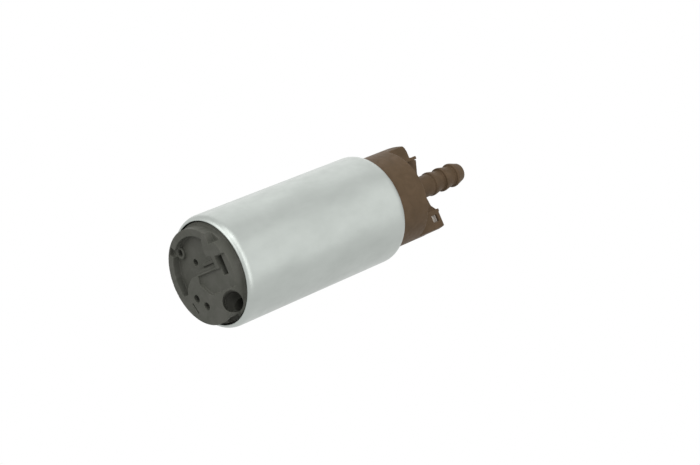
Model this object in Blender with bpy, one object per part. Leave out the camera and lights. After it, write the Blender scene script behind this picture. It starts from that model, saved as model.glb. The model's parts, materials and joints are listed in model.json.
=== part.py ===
"""In-tank turbine fuel pump, upright on its inlet cover, in metres with +Z towards the outlet.

The origin is the centre of the inlet cover's front face. Fuel enters at the bottom, passes the
impeller and the motor, and leaves at the barbed nipple on top.
"""
import math

import bmesh
import bpy
from mathutils import Matrix, Vector

MM = 0.001

# Clearances
SEAT_GAP = 0.3 * MM          # between pieces that touch on the real pump
RUNNING_GAP = 0.3 * MM       # round shafts and beside the impeller
OVERSHOOT = 1.0 * MM         # how far a cutter reaches past the face that it cuts
WALL_BITE = 0.6 * MM         # how far a joined shape reaches into the one that it joins

# Shell: a steel tube, thinned at both ends and rolled over the covers
SHELL_RADIUS = 19.0 * MM
SHELL_WALL = 1.8 * MM
SHELL_END_WALL = 1.0 * MM
SHELL_LENGTH = 71.1 * MM
FRONT_CURL_REACH = 1.6 * MM
FRONT_CURL_LENGTH = 2.8 * MM
REAR_CURL_REACH = 2.3 * MM
REAR_CURL_LENGTH = 3.4 * MM
CURL_POINTS = 4

# Inlet cover: the dark moulding at the bottom
NOSE_HEIGHT = 3.9 * MM       # how far it stands out of the shell
NOSE_GAP = 1.3 * MM          # open ring between nose and shell lip
NOSE_STEP = 0.9 * MM         # the lower ring that shows in that gap
INLET_COVER_DEPTH = 12.0 * MM
RIM_WIDTH = 2.5 * MM
RECESS_DEPTH = 2.6 * MM
SHELF_DEPTH = 0.5 * MM
SLOT_DEPTH = 4.2 * MM
GROOVE_DEPTH = 1.1 * MM
RIB_DEPTH = 1.0 * MM         # top of the rib inside the recess
LOW_RIB_DEPTH = 2.0 * MM
BOSS_DEPTH = 1.6 * MM        # top of the hollow boss
BOSS_RADIUS = 2.1 * MM
BOSS_HOLE_RADIUS = 1.2 * MM
PIN_HOLE_RADIUS = 1.35 * MM
VENT_RADIUS = 1.1 * MM
PIN_HOLE_DEPTH = 5.0 * MM
RIM_NOTCH_WIDTH = 3.0 * MM
RIM_NOTCH_DEPTH = 1.6 * MM
RIM_NOTCH_WALL = 0.6 * MM
SIDE_NOTCH_WIDTH = 2.8 * MM
SIDE_NOTCH_DEPTH = 1.8 * MM
SLIT_DEPTH = 1.2 * MM
PORT_RADIUS = 3.3 * MM
PORT_TILT = math.radians(50.0)       # from the pump's axis
PORT_HEADING = math.radians(-100.0)  # the way that the mouth faces
PORT_ANGLE = math.radians(-37.0)     # where the mouth lies round the axis
PORT_INSET = 2.5 * MM        # from the nose's edge in to the middle of the mouth
PORT_MOUTH_HEIGHT = 2.0 * MM
PORT_REACH = 6.0 * MM        # how deep the slanted mouth goes
PORT_BORE_RADIUS = 2.0 * MM
UNDERCUT_ANGLE = math.radians(-6.5)
UNDERCUT_WIDTH = 6.6 * MM
UNDERCUT_DEPTH = 1.5 * MM
UNDERCUT_HEIGHT = 0.9 * MM

# Pump stage: impeller between the inlet cover and the channel plate
IMPELLER_THICKNESS = 3.6 * MM
VANE_COUNT = 37
VANE_LENGTH = 3.2 * MM
VANE_SHARE = 0.42            # part of each pitch that the vane fills
IMPELLER_WEB = 0.9 * MM
BALANCE_HOLES = 4
BALANCE_HOLE_RADIUS = 1.1 * MM
STAGE_WALL = 1.9 * MM        # the channel plate's wall round the impeller
CHANNEL_WEB = 5.8 * MM       # the channel plate above the impeller
CHANNEL_RADIUS = 1.65 * MM   # section of the side channel
CHANNEL_START = math.radians(-22.0)
CHANNEL_SWEEP = math.radians(290.0)
THRUST_BUTTON_RADIUS = 2.0 * MM
THRUST_BUTTON_HEIGHT = 2.0 * MM

# Shaft and bearings
SHAFT_RADIUS = 1.6 * MM
SHAFT_FLAT = 1.1 * MM        # from the axis to the flat that drives the impeller
SHAFT_CHAMFER = 0.3 * MM
BUSH_WALL = 1.1 * MM
LOWER_BUSH_LENGTH = 5.4 * MM
UPPER_BUSH_LENGTH = 4.4 * MM
BUSH_BOSS_WALL = 1.0 * MM
LOWER_BOSS_HEIGHT = 1.3 * MM

# Armature
AIR_GAP = 0.6 * MM
SLOTS = 8
YOKE_SHARE = 0.407           # of the core's radius, as are the next two
NECK_SHARE = 0.211
TIP_SHARE = 0.114
SLOT_OPENING = 1.7 * MM
WINDING_START = 2.6 * MM     # above the channel plate's top
WINDING_HEIGHT = 4.8 * MM
WINDING_BORE = 3.4 * MM
WINDING_SHOULDER = 0.65      # part of its height where an end turn starts to round off
WINDING_TAPER = 0.3          # how far its crown is set in, as a part of its height
WINDING_DIP = 0.22           # how far the crown sinks over each tooth, likewise
INSULATOR_THICKNESS = 1.0 * MM
COMMUTATOR_BASE = 3.2 * MM
COMMUTATOR_HUB_RADIUS = 5.4 * MM
SEGMENT_THICKNESS = 2.0 * MM
SEGMENT_GAP = 0.6 * MM
SEGMENT_INNER = 4.2 * MM

# Magnets and their clips
MAGNET_SHARE = 0.21          # thickness, as a part of the shell's radius
MAGNET_OVERHANG = 4.0 * MM   # past each end of the core
MAGNET_SPAN = math.radians(138.0)
CLIP_THICKNESS = 0.6 * MM
CLIP_LEG = 3.0 * MM

# Outlet cover: the brown moulding on top
BARREL_HEIGHT = 12.8 * MM    # above the shell
BARREL_CHAMFER = 0.4 * MM
CUP_RADIUS_GAP = 3.3 * MM    # wall and seal groove round the cup
TOP_WALL = 3.0 * MM
SHOULDER_DEPTH = 13.3 * MM   # from the shell's end down to its inner shoulder
SEAL_SECTION = 0.8 * MM
SEAL_GROOVE_WIDTH = 2.2 * MM
SEAL_GROOVE_PLACE = 4.7 * MM
SEAL_GROOVE_DEPTH = 1.9 * MM

# Terminal towers
TOWER_HIGH_SIDE = 4.6 * MM   # high wall's distance from the middle plane
TOWER_LOW_SIDE = 6.3 * MM    # low wall's distance, on the other side
TOWER_HEIGHT = 12.8 * MM     # inner wall's high end above the barrel
INNER_WALL_DROP = 1.9 * MM   # inner wall's low end below its high end
HIGH_WALL_DROP = 0.3 * MM
LOW_WALL_DROP = 4.9 * MM
TOWER_DEPTH = 7.0 * MM       # inner wall's face, in from the barrel's side
TOWER_WALL = 1.1 * MM
TOWER_CORNER = 3.4 * MM
WINDOW_WIDTH = 2.4 * MM      # window in the high wall, in front of the blade
WINDOW_HEIGHT = 2.6 * MM
WINDOW_DROP = 1.8 * MM
POCKET_DEPTH = 10.5 * MM
RIB_HALF_WIDTH = 2.3 * MM    # rib from tower to tower through the nipple
RIB_LOW_DROP = 1.0 * MM      # rib's top at the nipple, below the towers
RIB_END_DROP = 0.2 * MM
RIB_HIGH_RISE = 1.2 * MM
GUSSET_REACH = 1.5 * MM      # web between the rib and a tower's high side
BLADE_OFFSET = 2.6 * MM      # from the middle plane, towards the high wall
BLADE_WIDTH = 2.8 * MM
BLADE_THICKNESS = 0.8 * MM
BLADE_DROP = 0.6 * MM        # blade tip below the tower's high edge
BLADE_TAIL = 2.6 * MM        # below the cover's top wall
BLADE_CHAMFER = 0.6 * MM

# Nipple and check valve
NIPPLE_OFFSET = 0.5 * MM
NIPPLE_RADIUS = 3.9 * MM
NIPPLE_PLAIN = 16.9 * MM     # from the barrel to the first barb
BARB_RADIUS = 4.3 * MM
BARB_FOOT_RADIUS = 3.45 * MM
BARB_PITCH = 5.5 * MM
BARB_COUNT = 3
BARB_LAND = 0.9 * MM
TIP_LENGTH = 5.1 * MM        # from the last barb's shoulder to the tip
TIP_ROUNDING = 1.4 * MM
NIPPLE_BORE = 2.1 * MM
NIPPLE_FILLET = 1.2 * MM
VALVE_BORE = 2.8 * MM
VALVE_CHAMBER = 16.0 * MM
VALVE_BOSS = 2.8 * MM        # chamber boss below the cover's top wall
VALVE_SEAT_HEIGHT = 2.2 * MM
VALVE_SEAT_HOLE = 1.4 * MM
PLUNGER_RADIUS = 2.2 * MM
PLUNGER_HEAD = 2.2 * MM
PLUNGER_STEM_RADIUS = 0.9 * MM
PLUNGER_STEM_LENGTH = 7.0 * MM

# Relief valve
RELIEF_INSET = 6.8 * MM      # in from the barrel's side
RELIEF_STUB_RADIUS = 3.3 * MM
RELIEF_STUB_HEIGHT = 5.0 * MM
RELIEF_BORE = 2.2 * MM
RELIEF_HOLE = 1.1 * MM
RELIEF_SEAT_HEIGHT = 1.8 * MM
RELIEF_BALL_RADIUS = 1.6 * MM
RELIEF_CAP_HEIGHT = 1.4 * MM
RELIEF_CAP_HOLE = 0.9 * MM
RELIEF_CAP_DROP = 0.4 * MM
RELIEF_SPRING_FOOT = 0.75    # where the spring sits on the ball, as a part of its radius

# Brushes, brush carrier and chokes
BRUSH_SHARE = 0.625          # of the segments' width that the brush covers
BRUSH_WIDTH = 5.0 * MM
BRUSH_LENGTH = 7.0 * MM
BRUSH_SPRING_ROOM = 8.3 * MM
GUIDE_WALL = 0.8 * MM
GUIDE_START = 1.3 * MM       # above the brush's lower end
CARRIER_THICKNESS = 2.8 * MM
CARRIER_DROP = 3.2 * MM      # carrier's top below the cover's top wall
FLOW_HOLE_RADIUS = 1.8 * MM
FLOW_HOLE_EDGE = 1.2 * MM    # carrier left outside each flow hole
FLOW_HOLES = 4
LEAD_RADIUS = 0.35 * MM
CHOKE_INSET = 3.8 * MM       # in from the cup's wall
CHOKE_CORE_RADIUS = 1.5 * MM
CHOKE_CORE_LENGTH = 11.0 * MM
CHOKE_WIRE = 0.35 * MM
CHOKE_TURNS = 5

# Springs
SPRING_WIRE = 0.2 * MM
BRUSH_SPRING_RADIUS = 1.5 * MM
BRUSH_SPRING_TURNS = 4
VALVE_SPRING_RADIUS = 1.5 * MM
VALVE_SPRING_TURNS = 5
RELIEF_SPRING_RADIUS = 1.3 * MM
RELIEF_SPRING_TURNS = 4
POINTS_PER_TURN = 8

# Facets
ROUND = 60
INNER_ROUND = 40
SMALL_ROUND = 20
SHARP_ANGLE = math.radians(38.0)

# Places worked out from the sizes above, from the bottom up
nose_radius = SHELL_RADIUS - FRONT_CURL_REACH - NOSE_GAP
recess_radius = nose_radius - RIM_WIDTH
fitted_radius = SHELL_RADIUS - SHELL_END_WALL - SEAT_GAP
shell_bore = SHELL_RADIUS - SHELL_WALL
shell_start = NOSE_HEIGHT
shell_end = shell_start + SHELL_LENGTH
flange_start = shell_start + SHELL_END_WALL + SEAT_GAP
impeller_start = INLET_COVER_DEPTH + RUNNING_GAP
impeller_end = impeller_start + IMPELLER_THICKNESS
channel_floor = impeller_end + RUNNING_GAP
channel_top = channel_floor + CHANNEL_WEB
front_shoulder = channel_top + SEAT_GAP
stage_bore = fitted_radius - STAGE_WALL
impeller_radius = stage_bore - RUNNING_GAP
channel_place = impeller_radius - CHANNEL_RADIUS
rear_shoulder = shell_end - SHOULDER_DEPTH
barrel_radius = SHELL_RADIUS - REAR_CURL_REACH - SEAT_GAP
barrel_top = shell_end + BARREL_HEIGHT
cup_radius = fitted_radius - CUP_RADIUS_GAP
cup_top = barrel_top - TOP_WALL

carrier_top = cup_top - CARRIER_DROP
carrier_start = carrier_top - CARRIER_THICKNESS
guide_end = carrier_top - GUIDE_WALL
brush_end = guide_end - BRUSH_SPRING_ROOM
brush_start = brush_end - BRUSH_LENGTH
guide_start = brush_start + GUIDE_START
segment_end = brush_start - RUNNING_GAP
segment_start = segment_end - SEGMENT_THICKNESS
commutator_start = segment_start - SEAT_GAP - COMMUTATOR_BASE
winding_end = commutator_start - SEAT_GAP
upper_winding = winding_end - WINDING_HEIGHT
upper_insulator = upper_winding - SEAT_GAP - INSULATOR_THICKNESS
core_end = upper_insulator - SEAT_GAP
winding_start = channel_top + WINDING_START
lower_insulator = winding_start + WINDING_HEIGHT + SEAT_GAP
core_start = lower_insulator + INSULATOR_THICKNESS + SEAT_GAP
magnet_start = core_start - MAGNET_OVERHANG
magnet_end = core_end + MAGNET_OVERHANG

magnet_outer = shell_bore - SEAT_GAP
magnet_inner = magnet_outer - MAGNET_SHARE * SHELL_RADIUS
core_radius = magnet_inner - AIR_GAP
yoke_radius = YOKE_SHARE * core_radius
neck_width = NECK_SHARE * core_radius
tip_thickness = TIP_SHARE * core_radius
winding_radius = core_radius - tip_thickness - SEAT_GAP
commutator_radius = winding_radius
brush_depth = BRUSH_SHARE * (commutator_radius - SEGMENT_INNER)
brush_place = (commutator_radius + SEGMENT_INNER) / 2
choke_place = cup_radius - CHOKE_INSET
bush_radius = SHAFT_RADIUS + RUNNING_GAP + BUSH_WALL
upper_bush_start = guide_start + SEAT_GAP
shaft_start = impeller_start - RUNNING_GAP
shaft_end = upper_bush_start + UPPER_BUSH_LENGTH + RUNNING_GAP

tower_top = barrel_top + TOWER_HEIGHT
tower_inner = barrel_radius - TOWER_DEPTH
tower_outer = math.sqrt(barrel_radius ** 2 - TOWER_LOW_SIDE ** 2) - TOWER_WALL
blade_place = (tower_inner + TOWER_WALL + tower_outer) / 2
nipple_top = barrel_top + NIPPLE_PLAIN + (BARB_COUNT - 1) * BARB_PITCH + TIP_LENGTH
valve_start = cup_top - VALVE_BOSS
valve_end = valve_start + VALVE_CHAMBER
plunger_start = valve_start + VALVE_SEAT_HEIGHT + 2 * SEAT_GAP
relief_place = barrel_radius - RELIEF_INSET
relief_seat = cup_top - VALVE_BOSS + RELIEF_SEAT_HEIGHT
relief_top = barrel_top + RELIEF_STUB_HEIGHT


def clear_scene():
    for obj in list(bpy.data.objects):
        bpy.data.objects.remove(obj, do_unlink=True)


def material(name, colour, roughness, metallic=0.0):
    """A Principled material; colour is sRGB, 0 to 255."""
    found = bpy.data.materials.get(name)
    if found:
        return found
    linear = [((c / 255 + 0.055) / 1.055) ** 2.4 for c in colour]
    made = bpy.data.materials.new(name)
    made.use_nodes = True
    shader = made.node_tree.nodes["Principled BSDF"]
    shader.inputs["Base Color"].default_value = (*linear, 1.0)
    shader.inputs["Roughness"].default_value = roughness
    shader.inputs["Metallic"].default_value = metallic
    return made


def finishes():
    return {
        "shell": material("zinc_plated_steel", (191, 197, 193), 0.38, 1.0),
        "steel": material("ground_steel", (170, 172, 174), 0.25, 1.0),
        "spring": material("spring_steel", (150, 152, 155), 0.3, 1.0),
        "lamination": material("lamination_steel", (96, 98, 102), 0.5, 1.0),
        "inlet": material("grey_pps", (91, 92, 86), 0.55),
        "stage": material("dark_pps", (58, 58, 56), 0.5),
        "outlet": material("brown_pps", (97, 81, 64), 0.5),
        "carrier": material("natural_acetal", (226, 222, 208), 0.45),
        "copper": material("enamelled_copper", (168, 92, 44), 0.35, 1.0),
        "ferrite": material("ferrite", (54, 53, 55), 0.6),
        "bronze": material("sintered_bronze", (158, 122, 78), 0.55, 1.0),
        "carbon": material("carbon", (38, 38, 40), 0.6),
        "tin": material("tinned_brass", (204, 200, 188), 0.3, 1.0),
        "brass": material("brass", (196, 160, 86), 0.3, 1.0),
        "rubber": material("fuel_rubber", (28, 28, 28), 0.8),
        "insulator": material("white_polyamide", (214, 212, 200), 0.5),
    }


def link(name, data, finish=None):
    obj = bpy.data.objects.new(name, data)
    bpy.context.scene.collection.objects.link(obj)
    if finish:
        data.materials.append(finish)
    return obj


def shade(mesh):
    """Smooth but for the edges that turn sharply."""
    mesh.shade_smooth()
    mesh.set_sharp_from_angle(angle=SHARP_ANGLE)


def finished(name, bm, finish):
    """Turn a bmesh into an object with outward faces."""
    bmesh.ops.remove_doubles(bm, verts=bm.verts, dist=1e-7)
    bmesh.ops.recalc_face_normals(bm, faces=bm.faces)
    mesh = bpy.data.meshes.new(name)
    bm.to_mesh(mesh)
    bm.free()
    shade(mesh)
    return link(name, mesh, finish)


def turned(name, profile, finish=None, steps=ROUND, centre=(0.0, 0.0)):
    """Spin a (radius, height) profile round a vertical axis.

    A profile that starts and ends on the axis is a solid with flat ends, and any other is a
    closed loop.
    """
    bm = bmesh.new()
    verts = [bm.verts.new((centre[0] + r, centre[1], z)) for r, z in profile]
    edges = [bm.edges.new(pair) for pair in zip(verts, verts[1:])]
    if profile[0][0] > 0.0:
        edges.append(bm.edges.new((verts[-1], verts[0])))
    bmesh.ops.spin(
        bm, geom=verts + edges, cent=(centre[0], centre[1], 0.0), axis=(0.0, 0.0, 1.0),
        angle=2 * math.pi, steps=steps, use_merge=True,
    )
    if profile[0][0] == 0.0:
        bmesh.ops.remove_doubles(bm, verts=bm.verts, dist=1e-7)
        hubs = [vert for vert in bm.verts if math.dist(vert.co.xy, centre) < 1e-7]
        bmesh.ops.dissolve_verts(bm, verts=hubs)
    return finished(name, bm, finish)


def cylinder(name, radius, start, end, finish=None, steps=SMALL_ROUND, centre=(0.0, 0.0)):
    profile = [(0.0, start), (radius, start), (radius, end), (0.0, end)]
    return turned(name, profile, finish, steps, centre)


def ring(name, inner, outer, start, end, finish=None, steps=SMALL_ROUND, centre=(0.0, 0.0)):
    profile = [(inner, start), (outer, start), (outer, end), (inner, end)]
    return turned(name, profile, finish, steps, centre)


def prism(name, outline, start, end, finish=None):
    """Extrude an (x, y) outline from one height to another."""
    bm = bmesh.new()
    face = bm.faces.new([bm.verts.new((x, y, start)) for x, y in outline])
    grown = bmesh.ops.extrude_face_region(bm, geom=[face])
    raised = [item for item in grown["geom"] if isinstance(item, bmesh.types.BMVert)]
    bmesh.ops.translate(bm, verts=raised, vec=(0.0, 0.0, end - start))
    return finished(name, bm, finish)


def block(name, low, high, finish=None):
    outline = [(low[0], low[1]), (high[0], low[1]), (high[0], high[1]), (low[0], high[1])]
    return prism(name, outline, low[2], high[2], finish)


def wire(name, points, radius, finish, resolution=1):
    """A round wire along a path of points, as a bevelled curve with filled ends."""
    curve = bpy.data.curves.new(name, "CURVE")
    curve.dimensions = "3D"
    curve.bevel_depth = radius
    curve.bevel_resolution = resolution
    curve.use_fill_caps = True
    spline = curve.splines.new("POLY")
    spline.points.add(len(points) - 1)
    for point, place in zip(spline.points, points):
        point.co = (*place, 1.0)
    return link(name, curve, finish)


def helix(centre, radius, start, end, turns, phase=0.0):
    """Points of a coil that rises from one height to another."""
    count = turns * POINTS_PER_TURN
    points = []
    for i in range(count + 1):
        angle = phase + 2 * math.pi * i / POINTS_PER_TURN
        x = centre[0] + radius * math.cos(angle)
        y = centre[1] + radius * math.sin(angle)
        points.append((x, y, start + (end - start) * i / count))
    return points


def combine(target, tool, operation):
    """Add a Boolean with a hidden tool; settle() turns it into plain mesh in the end."""
    tool.hide_render = True
    tool.display_type = "WIRE"
    modifier = target.modifiers.new(tool.name, "BOOLEAN")
    modifier.operation = operation
    modifier.solver = "EXACT"
    modifier.object = tool
    return target


def settle():
    """Replace every object with Booleans by the mesh they give, and remove their tools."""
    depsgraph = bpy.context.evaluated_depsgraph_get()
    tools = [obj for obj in bpy.data.objects if obj.hide_render]
    targets = [obj for obj in bpy.data.objects if obj.modifiers and not obj.hide_render]
    meshes = [bpy.data.meshes.new_from_object(obj.evaluated_get(depsgraph)) for obj in targets]
    for obj, mesh in zip(targets, meshes):
        obj.modifiers.clear()
        obj.data = mesh
        shade(mesh)
    for tool in tools:
        bpy.data.objects.remove(tool)


def cut(target, tool):
    return combine(target, tool, "DIFFERENCE")


def join(target, tool):
    return combine(target, tool, "UNION")


def arc(radius, first, last, count, centre=(0.0, 0.0)):
    """Points on an arc; angles in radians, both ends included."""
    angles = [first + (last - first) * i / (count - 1) for i in range(count)]
    return [(centre[0] + radius * math.cos(a), centre[1] + radius * math.sin(a)) for a in angles]


def polar(radius, angle):
    return (radius * math.cos(angle), radius * math.sin(angle))


def curl(radius, reach, height, length, ends):
    """Quarter ellipse of a rolled shell end, from the full radius to the lip."""
    points = []
    for i in range(CURL_POINTS + 1):
        angle = math.pi / 2 * i / CURL_POINTS
        r = radius - reach + reach * math.cos(angle)
        points.append((r, height + ends * length * math.sin(angle)))
    return points


def shell_tube(finish):
    front = curl(SHELL_RADIUS, FRONT_CURL_REACH, shell_start + FRONT_CURL_LENGTH,
                 FRONT_CURL_LENGTH, -1)
    rear = curl(SHELL_RADIUS, REAR_CURL_REACH, shell_end - REAR_CURL_LENGTH,
                REAR_CURL_LENGTH, 1)
    end_bore = SHELL_RADIUS - SHELL_END_WALL
    front_lip = SHELL_RADIUS - FRONT_CURL_REACH
    rear_lip = SHELL_RADIUS - REAR_CURL_REACH
    inside = [
        (front_lip, shell_start + SHELL_END_WALL),
        (end_bore, shell_start + SHELL_END_WALL + (end_bore - front_lip)),
        (end_bore, front_shoulder),
        (shell_bore, front_shoulder),
        (shell_bore, rear_shoulder),
        (end_bore, rear_shoulder),
        (end_bore, shell_end - SHELL_END_WALL - (end_bore - rear_lip) / 2),
        (rear_lip, shell_end - SHELL_END_WALL),
    ]
    profile = rear[::-1] + front + inside
    return turned("shell_tube", profile, finish)


def face_point(right, up):
    """A place on the inlet face, as seen from below with +X pointing down.

    The layout is drawn for a recess radius of 13.6 mm and spreads with the real one.
    """
    spread = recess_radius / 13.6
    return (-up * spread, -right * spread)


def face_outline(points):
    return [face_point(right, up) for right, up in points]


def recess_outline():
    """The moulded recess: a wide arc on the left, stepped on the right and at the bottom."""
    sweep = [polar(13.6, math.radians(angle)) for angle in range(196, 58, -8)]
    stepped = [
        (7.9, 11.0), (6.7, 8.0), (6.7, 5.2), (9.4, 5.0), (9.4, 0.9), (-2.8, 0.9),
        (-5.0, 0.8), (-7.6, -0.5), (-9.5, -2.0), (-10.5, -3.7),
    ]
    return face_outline(sweep + stepped)


def cut_inlet_face(cover):
    """The open forms of the inlet face: recess, ribs, steps, slots and small holes."""
    top = -OVERSHOOT
    floor = RECESS_DEPTH + WALL_BITE
    boss_centre = face_point(-8.0, 9.7)
    rib = face_outline([(-3.3, 1.0), (10.0, 1.0), (10.0, 2.0), (-3.3, 2.0)])
    low_rib = face_outline([(0.0, 2.7), (10.0, 2.7), (10.0, 3.7), (0.0, 3.7)])
    recess = prism("recess_tool", recess_outline(), top, RECESS_DEPTH)
    cut(recess, prism("rib_tool", rib, RIB_DEPTH, floor))
    cut(recess, prism("low_rib_tool", low_rib, LOW_RIB_DEPTH, floor))
    cut(recess, cylinder("boss_tool", BOSS_RADIUS, BOSS_DEPTH, floor, centre=boss_centre))
    cut(cover, recess)
    shelf = face_outline([
        (1.7, -6.7), (18.0, -6.7), (18.0, 4.4), (11.0, 4.4), (11.0, 0.4), (-1.4, 0.4),
        (-2.2, -2.2),
    ])
    cut(cover, prism("shelf_tool", shelf, top, SHELF_DEPTH))
    groove = face_outline([(-1.4, 0.2), (9.9, 0.2), (9.9, 0.55), (-1.4, 0.55)])
    cut(cover, prism("groove_tool", groove, top, GROOVE_DEPTH))
    slot = face_outline([(10.9, -2.2), (13.4, -2.2), (13.4, 4.1), (10.9, 4.1)])
    cut(cover, prism("slot_tool", slot, top, SLOT_DEPTH))

    notch_centre = face_point(13.2, 10.6)
    half = SIDE_NOTCH_WIDTH / 2
    low = (notch_centre[0] - half, -nose_radius - OVERSHOOT, top)
    high = (notch_centre[0] + half, face_point(11.0, 0.0)[1], SIDE_NOTCH_DEPTH)
    cut(cover, block("side_notch_tool", low, high))
    slit = face_outline([(-10.2, -7.0), (-9.0, -10.6), (-8.7, -10.5), (-9.9, -6.9)])
    cut(cover, prism("slit_tool", slit, top, SLIT_DEPTH))

    holes = [
        ("boss_hole_tool", boss_centre, BOSS_HOLE_RADIUS, PIN_HOLE_DEPTH),
        ("vent_tool", face_point(-3.4, 5.0), VENT_RADIUS, INLET_COVER_DEPTH + OVERSHOOT),
        ("pin_hole_tool_1", face_point(-6.8, -5.9), PIN_HOLE_RADIUS, PIN_HOLE_DEPTH),
        ("pin_hole_tool_2", face_point(-3.1, -9.3), PIN_HOLE_RADIUS, PIN_HOLE_DEPTH),
    ]
    for name, centre, radius, depth in holes:
        cut(cover, cylinder(name, radius, top, depth, steps=16, centre=centre))

    notch = block("rim_notch_tool",
                  (recess_radius - WALL_BITE, -RIM_NOTCH_WIDTH / 2, top),
                  (nose_radius - RIM_NOTCH_WALL, RIM_NOTCH_WIDTH / 2, RIM_NOTCH_DEPTH))
    place = face_point(-9.7, 10.8)
    notch.rotation_euler.z = math.atan2(place[1], place[0])
    cut(cover, notch)


def cut_inlet_port(cover):
    """Slanted mouth at the cover's edge, then a straight bore up to the side channel."""
    mouth_place = polar(nose_radius - PORT_INSET, PORT_ANGLE)
    mouth = cylinder("port_mouth_tool", PORT_RADIUS, -2 * PORT_REACH, PORT_REACH, steps=28)
    mouth.location = (*mouth_place, PORT_MOUTH_HEIGHT)
    mouth.rotation_euler = (0.0, -PORT_TILT, PORT_HEADING)
    cut(cover, mouth)
    bore = cylinder("port_bore_tool", PORT_BORE_RADIUS, PORT_MOUTH_HEIGHT + PORT_REACH / 2,
                    INLET_COVER_DEPTH + OVERSHOOT, centre=polar(channel_place, CHANNEL_START),
                    steps=16)
    cut(cover, bore)

    undercut = block("undercut_tool",
                     (nose_radius - UNDERCUT_DEPTH, -UNDERCUT_WIDTH / 2, UNDERCUT_HEIGHT),
                     (fitted_radius + OVERSHOOT, UNDERCUT_WIDTH / 2, flange_start))
    undercut.rotation_euler.z = UNDERCUT_ANGLE
    cut(cover, undercut)


def channel_tool(name, height, first_angle):
    """A round groove along the impeller's vanes, as a sector of a torus with round ends."""
    bm = bmesh.new()
    start = Matrix.Translation((channel_place, 0.0, height)) @ Matrix.Rotation(math.pi / 2, 4, "X")
    made = bmesh.ops.create_circle(bm, cap_ends=True, segments=10, radius=CHANNEL_RADIUS,
                                   matrix=start)
    geom = made["verts"] + bm.edges[:] + bm.faces[:]
    bmesh.ops.rotate(bm, verts=bm.verts, cent=(0.0, 0.0, 0.0),
                     matrix=Matrix.Rotation(first_angle, 3, "Z"))
    bmesh.ops.spin(bm, geom=geom, cent=(0.0, 0.0, 0.0), axis=(0.0, 0.0, 1.0),
                   angle=CHANNEL_SWEEP, steps=26)
    return finished(name, bm, None)


def inlet_cover(finish):
    ring_radius = nose_radius + NOSE_STEP
    profile = [
        (0.0, 0.0), (nose_radius, 0.0), (nose_radius, flange_start - NOSE_STEP),
        (ring_radius, flange_start - NOSE_STEP), (ring_radius, flange_start),
        (fitted_radius, flange_start + NOSE_STEP), (fitted_radius, INLET_COVER_DEPTH),
        (0.0, INLET_COVER_DEPTH),
    ]
    cover = turned("inlet_cover", profile, finish)
    cut_inlet_face(cover)
    cut_inlet_port(cover)
    cut(cover, channel_tool("inlet_channel_tool", INLET_COVER_DEPTH, CHANNEL_START))
    seat = INLET_COVER_DEPTH - THRUST_BUTTON_HEIGHT - 2 * SEAT_GAP
    cut(cover, cylinder("button_seat_tool", THRUST_BUTTON_RADIUS + SEAT_GAP, seat,
                        INLET_COVER_DEPTH + OVERSHOOT))
    return cover


def thrust_button(finish):
    top = INLET_COVER_DEPTH - SEAT_GAP
    return cylinder("thrust_button", THRUST_BUTTON_RADIUS, top - THRUST_BUTTON_HEIGHT, top, finish)


def impeller(finish):
    """Open vanes on both sides of a thin web, on a disc that a flat on the shaft drives."""
    root = impeller_radius - VANE_LENGTH
    pitch = 2 * math.pi / VANE_COUNT
    half = pitch * VANE_SHARE / 2
    outline = []
    for i in range(VANE_COUNT):
        middle = i * pitch
        outline += [
            polar(root, middle - half), polar(impeller_radius, middle - half),
            polar(impeller_radius, middle + half), polar(root, middle + half),
        ]
    wheel = prism("impeller", outline, impeller_start, impeller_end, finish)
    middle = (impeller_start + impeller_end) / 2
    web_radius = impeller_radius - VANE_LENGTH / 2
    join(wheel, ring("impeller_web_tool", root - WALL_BITE, web_radius,
                     middle - IMPELLER_WEB / 2, middle + IMPELLER_WEB / 2, steps=VANE_COUNT))
    hole_radius = SHAFT_RADIUS + RUNNING_GAP
    flat = SHAFT_FLAT + RUNNING_GAP
    corner = math.acos(flat / hole_radius)
    bore = arc(hole_radius, corner, 2 * math.pi - corner, 18)
    cut(wheel, prism("impeller_bore_tool", bore, impeller_start - OVERSHOOT,
                     impeller_end + OVERSHOOT))
    for i in range(BALANCE_HOLES):
        place = polar((hole_radius + root) / 2, 2 * math.pi * (i + 0.5) / BALANCE_HOLES)
        cut(wheel, cylinder(f"balance_hole_tool_{i + 1}", BALANCE_HOLE_RADIUS,
                            impeller_start - OVERSHOOT, impeller_end + OVERSHOOT,
                            steps=12, centre=place))
    return wheel


def channel_plate(finish):
    """Upper half of the pump stage: a cup round the impeller with the second side channel."""
    boss_radius = bush_radius + SEAT_GAP + BUSH_BOSS_WALL
    boss_top = channel_top + LOWER_BOSS_HEIGHT
    hole = SHAFT_RADIUS + RUNNING_GAP
    pocket = bush_radius + SEAT_GAP
    pocket_floor = boss_top - LOWER_BUSH_LENGTH - SEAT_GAP
    profile = [
        (hole, channel_floor), (stage_bore, channel_floor), (stage_bore, impeller_start),
        (fitted_radius, impeller_start), (fitted_radius, channel_top), (boss_radius, channel_top),
        (boss_radius, boss_top), (pocket, boss_top), (pocket, pocket_floor), (hole, pocket_floor),
    ]
    plate = turned("channel_plate", profile, finish, INNER_ROUND)
    cut(plate, channel_tool("plate_channel_tool", channel_floor, CHANNEL_START))
    outlet_place = polar(channel_place, CHANNEL_START + CHANNEL_SWEEP)
    cut(plate, cylinder("discharge_tool", CHANNEL_RADIUS, channel_floor - CHANNEL_RADIUS,
                        channel_top + OVERSHOOT, steps=16, centre=outlet_place))
    return plate


def lower_bush(finish):
    top = channel_top + LOWER_BOSS_HEIGHT
    return ring("lower_bush", SHAFT_RADIUS + RUNNING_GAP, bush_radius,
                top - LOWER_BUSH_LENGTH, top, finish)


def upper_bush(finish):
    return ring("upper_bush", SHAFT_RADIUS + RUNNING_GAP, bush_radius,
                upper_bush_start, upper_bush_start + UPPER_BUSH_LENGTH, finish)


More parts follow.
